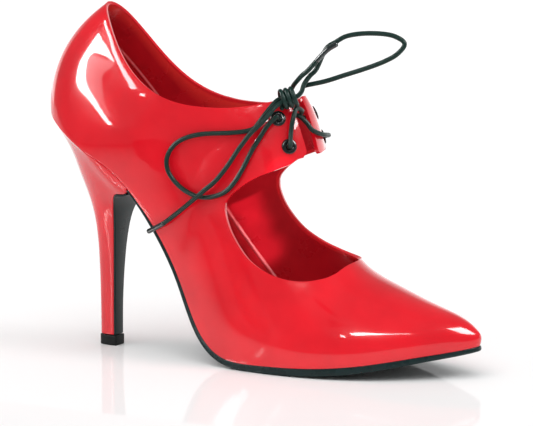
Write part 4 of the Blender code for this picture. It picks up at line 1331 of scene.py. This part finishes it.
def add_outsole(colours):
    last = Last()
    t = np.linspace(float(last.t_at_x(BREAST_X)), 1.0, SOLE_RIBS)
    outer, inner = sole_side(last, t, -1), sole_side(last, t, 1)
    across = np.linspace(0.0, 1.0, SOLE_ACROSS)[None, 1:-1, None]
    under = outer[:, -1:] + (inner[:, -1:] - outer[:, -1:]) * across
    over = inner[:, :1] + (outer[:, :1] - inner[:, :1]) * across
    bm = close_ends(ring_loft(np.concatenate([outer, under, inner[:, ::-1], over], axis=1)))
    add_piece("outsole", bm, [finish_for("sole_board", colours)], "sole_black", "outsole")


class PUMP_OT_insole(Operator):
    """Leather insole inside the upper"""

    bl_idname = "pump.insole"
    bl_label = "Insole"

    def execute(self, context):
        add_insole(context.scene.pump_sizes, context.scene.pump_colours)
        return {"FINISHED"}


def add_insole(sizes, colours):
    last = Last()
    t = np.linspace(0.0, INSOLE_FRONT_T, INSOLE_RIBS)
    inset = sizes.wall / MM + GAP + INSOLE_CLEAR
    (outer, up_outer), (inner, up_inner) = (last.bottom(t * side, inset) for side in (-1, 1))
    outer = outer + up_outer * INSOLE_THICK
    inner = inner + up_inner * INSOLE_THICK
    across = np.linspace(0.0, 1.0, INSOLE_ACROSS)[None, :, None]
    bm = ring_loft(outer[:, None] + (inner - outer)[:, None] * across, closed=False)
    bmesh.ops.recalc_face_normals(bm, faces=bm.faces[:])
    if sum(face.normal.z for face in bm.faces) < 0:
        bmesh.ops.reverse_faces(bm, faces=bm.faces[:])
    insole = add_piece("insole", bm, [finish_for("insole_leather", colours)], "insole_red", "insole")
    thick = insole.modifiers.new("thickness", "SOLIDIFY")
    thick.thickness = INSOLE_THICK * MM
    thick.offset = -1.0
    round_edges(insole, INSOLE_ROUNDING * MM)


class PUMP_OT_heel(Operator):
    """Covered stiletto heel with its black breast and top piece"""

    bl_idname = "pump.heel"
    bl_label = "Heel"

    def execute(self, context):
        add_heel(context.scene.pump_sizes, context.scene.pump_colours)
        return {"FINISHED"}


def heel_rings(last, count):
    """Rings from the tip to the seat, each from the outer breast corner round the back to the inner one."""
    steps = np.arange(-HEEL_RING_HALF, HEEL_RING_HALF + 1) / HEEL_RING_HALF
    front = float(last.t_at_x(SEAT_FRONT_X))
    seat, up = last.bottom(front * steps, np.zeros(len(steps)))
    edge_share = (seat[:, 0] - seat[:, 0].min()) / (seat[:, 0].max() - seat[:, 0].min())
    edge_wide = seat[:, 1] / seat[-1, 1]
    edge_wide[:HEEL_RING_HALF] = -edge_wide[:HEEL_RING_HALF:-1]
    round_share = 1 - np.cos(steps * math.pi / 2)
    round_wide = np.sin(steps * math.pi / 2)
    rings = []
    for values in HEEL:
        row = dict(zip(HEEL_COLUMNS, values))
        share = round_share + (edge_share - round_share) * row["seat"]
        wide = round_wide + (edge_wide - round_wide) * row["seat"]
        x = row["back_x"] + (row["front_x"] - row["back_x"]) * share
        z = row["back_z"] + (row["front_z"] - row["back_z"]) * share + row["arch"] * np.sin(math.pi * share)
        rings.append(np.column_stack([x, row["half"] * wide, z]))
    rings.append(seat - up * SEAM)
    rings = np.array(rings)
    strides = np.linalg.norm(np.diff(rings, axis=0), axis=2).mean(axis=1)
    knots = np.concatenate([[0.0], np.cumsum(strides)])
    smooth = spline_through(knots, rings.reshape(len(rings), -1))
    fine = smooth(np.linspace(0.0, knots[-1], count)).reshape(count, -1, 3)
    return fine, knots[-2] / knots[-1]


def add_heel(sizes, colours):
    last = Last()
    rings, lip = heel_rings(last, HEEL_RINGS)
    across = np.linspace(0.0, 1.0, BREAST_ACROSS)[1:-1][None, :, None]
    breast = rings[:, -1:] + (rings[:, :1] - rings[:, -1:]) * across
    bm = close_ends(ring_loft(np.concatenate([rings, breast], axis=1)))
    heel = add_piece("heel", bm, [finish_for("patent_leather", colours)], "patent_red", "heel")
    round_edges(heel, sizes.heel_rounding)
    fronts = rings[:int(lip * len(rings)) + 1, [0, -1]]
    ahead = unit(np.gradient(fronts[:, 1], axis=0))
    out = unit(np.column_stack([ahead[:, 2], np.zeros(len(ahead)), -ahead[:, 0]]))
    near, far = out * SEAM, out * (GAP + BREAST_THICK)
    corners = [fronts[:, 0] + near, fronts[:, 0] + far, fronts[:, 1] + far, fronts[:, 1] + near]
    bm = close_ends(ring_loft(np.stack(corners, axis=1)))
    strip = add_piece("heel_breast", bm, [finish_for("breast_board", colours)], "sole_black", "heel_breast")
    round_edges(strip, sizes.heel_rounding * BREAST_ROUNDING_SHARE)
    add_top_piece(rings[0], sizes, colours)


def add_top_piece(tip, sizes, colours):
    middle = np.array([(HEEL[0][0] + HEEL[0][2]) / 2, 0.0])
    out = middle + (tip[:, :2] - middle) * (1 + TOP_PIECE_OUT / HEEL[0][4])
    out[:, 0] += np.where(tip[:, 0] > middle[0] + TOP_PIECE_FRONT, GAP + BREAST_THICK, 0.0)
    rings = []
    for z in np.linspace(0.0, TOP_PIECE_HEIGHT, TOP_PIECE_RINGS):
        rings.append(np.column_stack([out, np.full(len(out), z)]))
    bm = close_ends(ring_loft(np.array(rings)))
    rubber = finish_for("top_piece_rubber", colours)
    top_piece = add_piece("top_piece", bm, [rubber], "top_piece_black", "top_piece")
    round_edges(top_piece, sizes.heel_rounding, TOP_PIECE_ANGLE)


class PUMP_OT_eyelets(Operator):
    """Four turned rings set in the flaps of the strap"""

    bl_idname = "pump.eyelets"
    bl_label = "Eyelets"

    def execute(self, context):
        last = Last()
        for name, side, y, z in EYELETS:
            point, normal = last.find(side, y, z)
            add_eyelet(name, point, normal, context.scene.pump_sizes, context.scene.pump_colours)
        return {"FINISHED"}


def add_eyelet(name, point, normal, sizes, colours):
    """Ring with a domed flange on the outer face, a barrel through the wall and a rolled inner rim."""
    wall = sizes.wall / MM
    middle = (EYELET_FLANGE + EYELET_BORE) / 2
    half = (EYELET_FLANGE - EYELET_BORE) / 2
    dome = [
        (middle - half * math.cos(angle), EYELET_EDGE + (EYELET_RISE - EYELET_EDGE) * math.sin(angle))
        for angle in np.linspace(0.0, math.pi, EYELET_DOME_STEPS)
    ]
    rolled = [
        (EYELET_BARREL + EYELET_ROLL * (1 + math.sin(angle)), -wall - EYELET_ROLL * (1 - math.cos(angle)))
        for angle in np.linspace(0.0, math.pi, EYELET_ROLL_STEPS)
    ]
    under = [(EYELET_FLANGE, EYELET_CLEAR), (EYELET_BARREL, EYELET_CLEAR), (EYELET_BARREL, -wall)]
    profile = dome + under + rolled + [(EYELET_BORE, -wall - EYELET_LIP)]
    bm = bmesh.new()
    verts = [bm.verts.new((radius * MM, 0.0, height * MM)) for radius, height in profile]
    edges = [bm.edges.new(pair) for pair in zip(verts, verts[1:] + verts[:1])]
    bmesh.ops.spin(
        bm, geom=verts + edges, cent=(0, 0, 0), axis=(0, 0, 1), angle=2 * math.pi, steps=EYELET_STEPS,
        use_merge=True,
    )
    bmesh.ops.remove_doubles(bm, verts=bm.verts[:], dist=1e-6)
    bmesh.ops.recalc_face_normals(bm, faces=bm.faces[:])
    turn = Vector((0.0, 0.0, 1.0)).rotation_difference(Vector(normal)).to_matrix().to_4x4()
    bmesh.ops.transform(bm, matrix=Matrix.Translation(Vector(to_frame(point))) @ turn, verts=bm.verts[:])
    add_piece(name, bm, [finish_for("eyelet_lacquer", colours)], "eyelet_black", name)


class PUMP_PT_sidebar(Panel):
    """Lists the pieces of the pump with their sizes and colours"""

    bl_idname = "PUMP_PT_sidebar"
    bl_label = "Tied stiletto pump"
    bl_space_type = "VIEW_3D"
    bl_region_type = "UI"
    bl_category = "Pump"

    def draw(self, context):
        for group in (context.scene.pump_sizes, context.scene.pump_colours, context.scene.pump_stage):
            for name in group.__annotations__:
                self.layout.prop(group, name)
        for operator in OPERATORS:
            self.layout.operator(operator.bl_idname)


OPERATORS = (
    PUMP_OT_stage, PUMP_OT_lace, PUMP_OT_upper, PUMP_OT_sole, PUMP_OT_insole, PUMP_OT_heel, PUMP_OT_eyelets,
)
CLASSES = (PumpSizes, PumpColours, PumpStage, *OPERATORS, PUMP_PT_sidebar)


def register():
    for cls in CLASSES:
        bpy.utils.register_class(cls)
    bpy.types.Scene.pump_sizes = PointerProperty(type=PumpSizes)
    bpy.types.Scene.pump_colours = PointerProperty(type=PumpColours)
    bpy.types.Scene.pump_stage = PointerProperty(type=PumpStage)


def unregister():
    del bpy.types.Scene.pump_stage
    del bpy.types.Scene.pump_colours
    del bpy.types.Scene.pump_sizes
    for cls in reversed(CLASSES):
        bpy.utils.unregister_class(cls)


def main():
    register()
    bpy.ops.pump.stage()
    bpy.ops.pump.lace()
    bpy.ops.pump.upper()
    bpy.ops.pump.sole()
    bpy.ops.pump.insole()
    bpy.ops.pump.heel()
    bpy.ops.pump.eyelets()


if __name__ == "__main__":
    main()
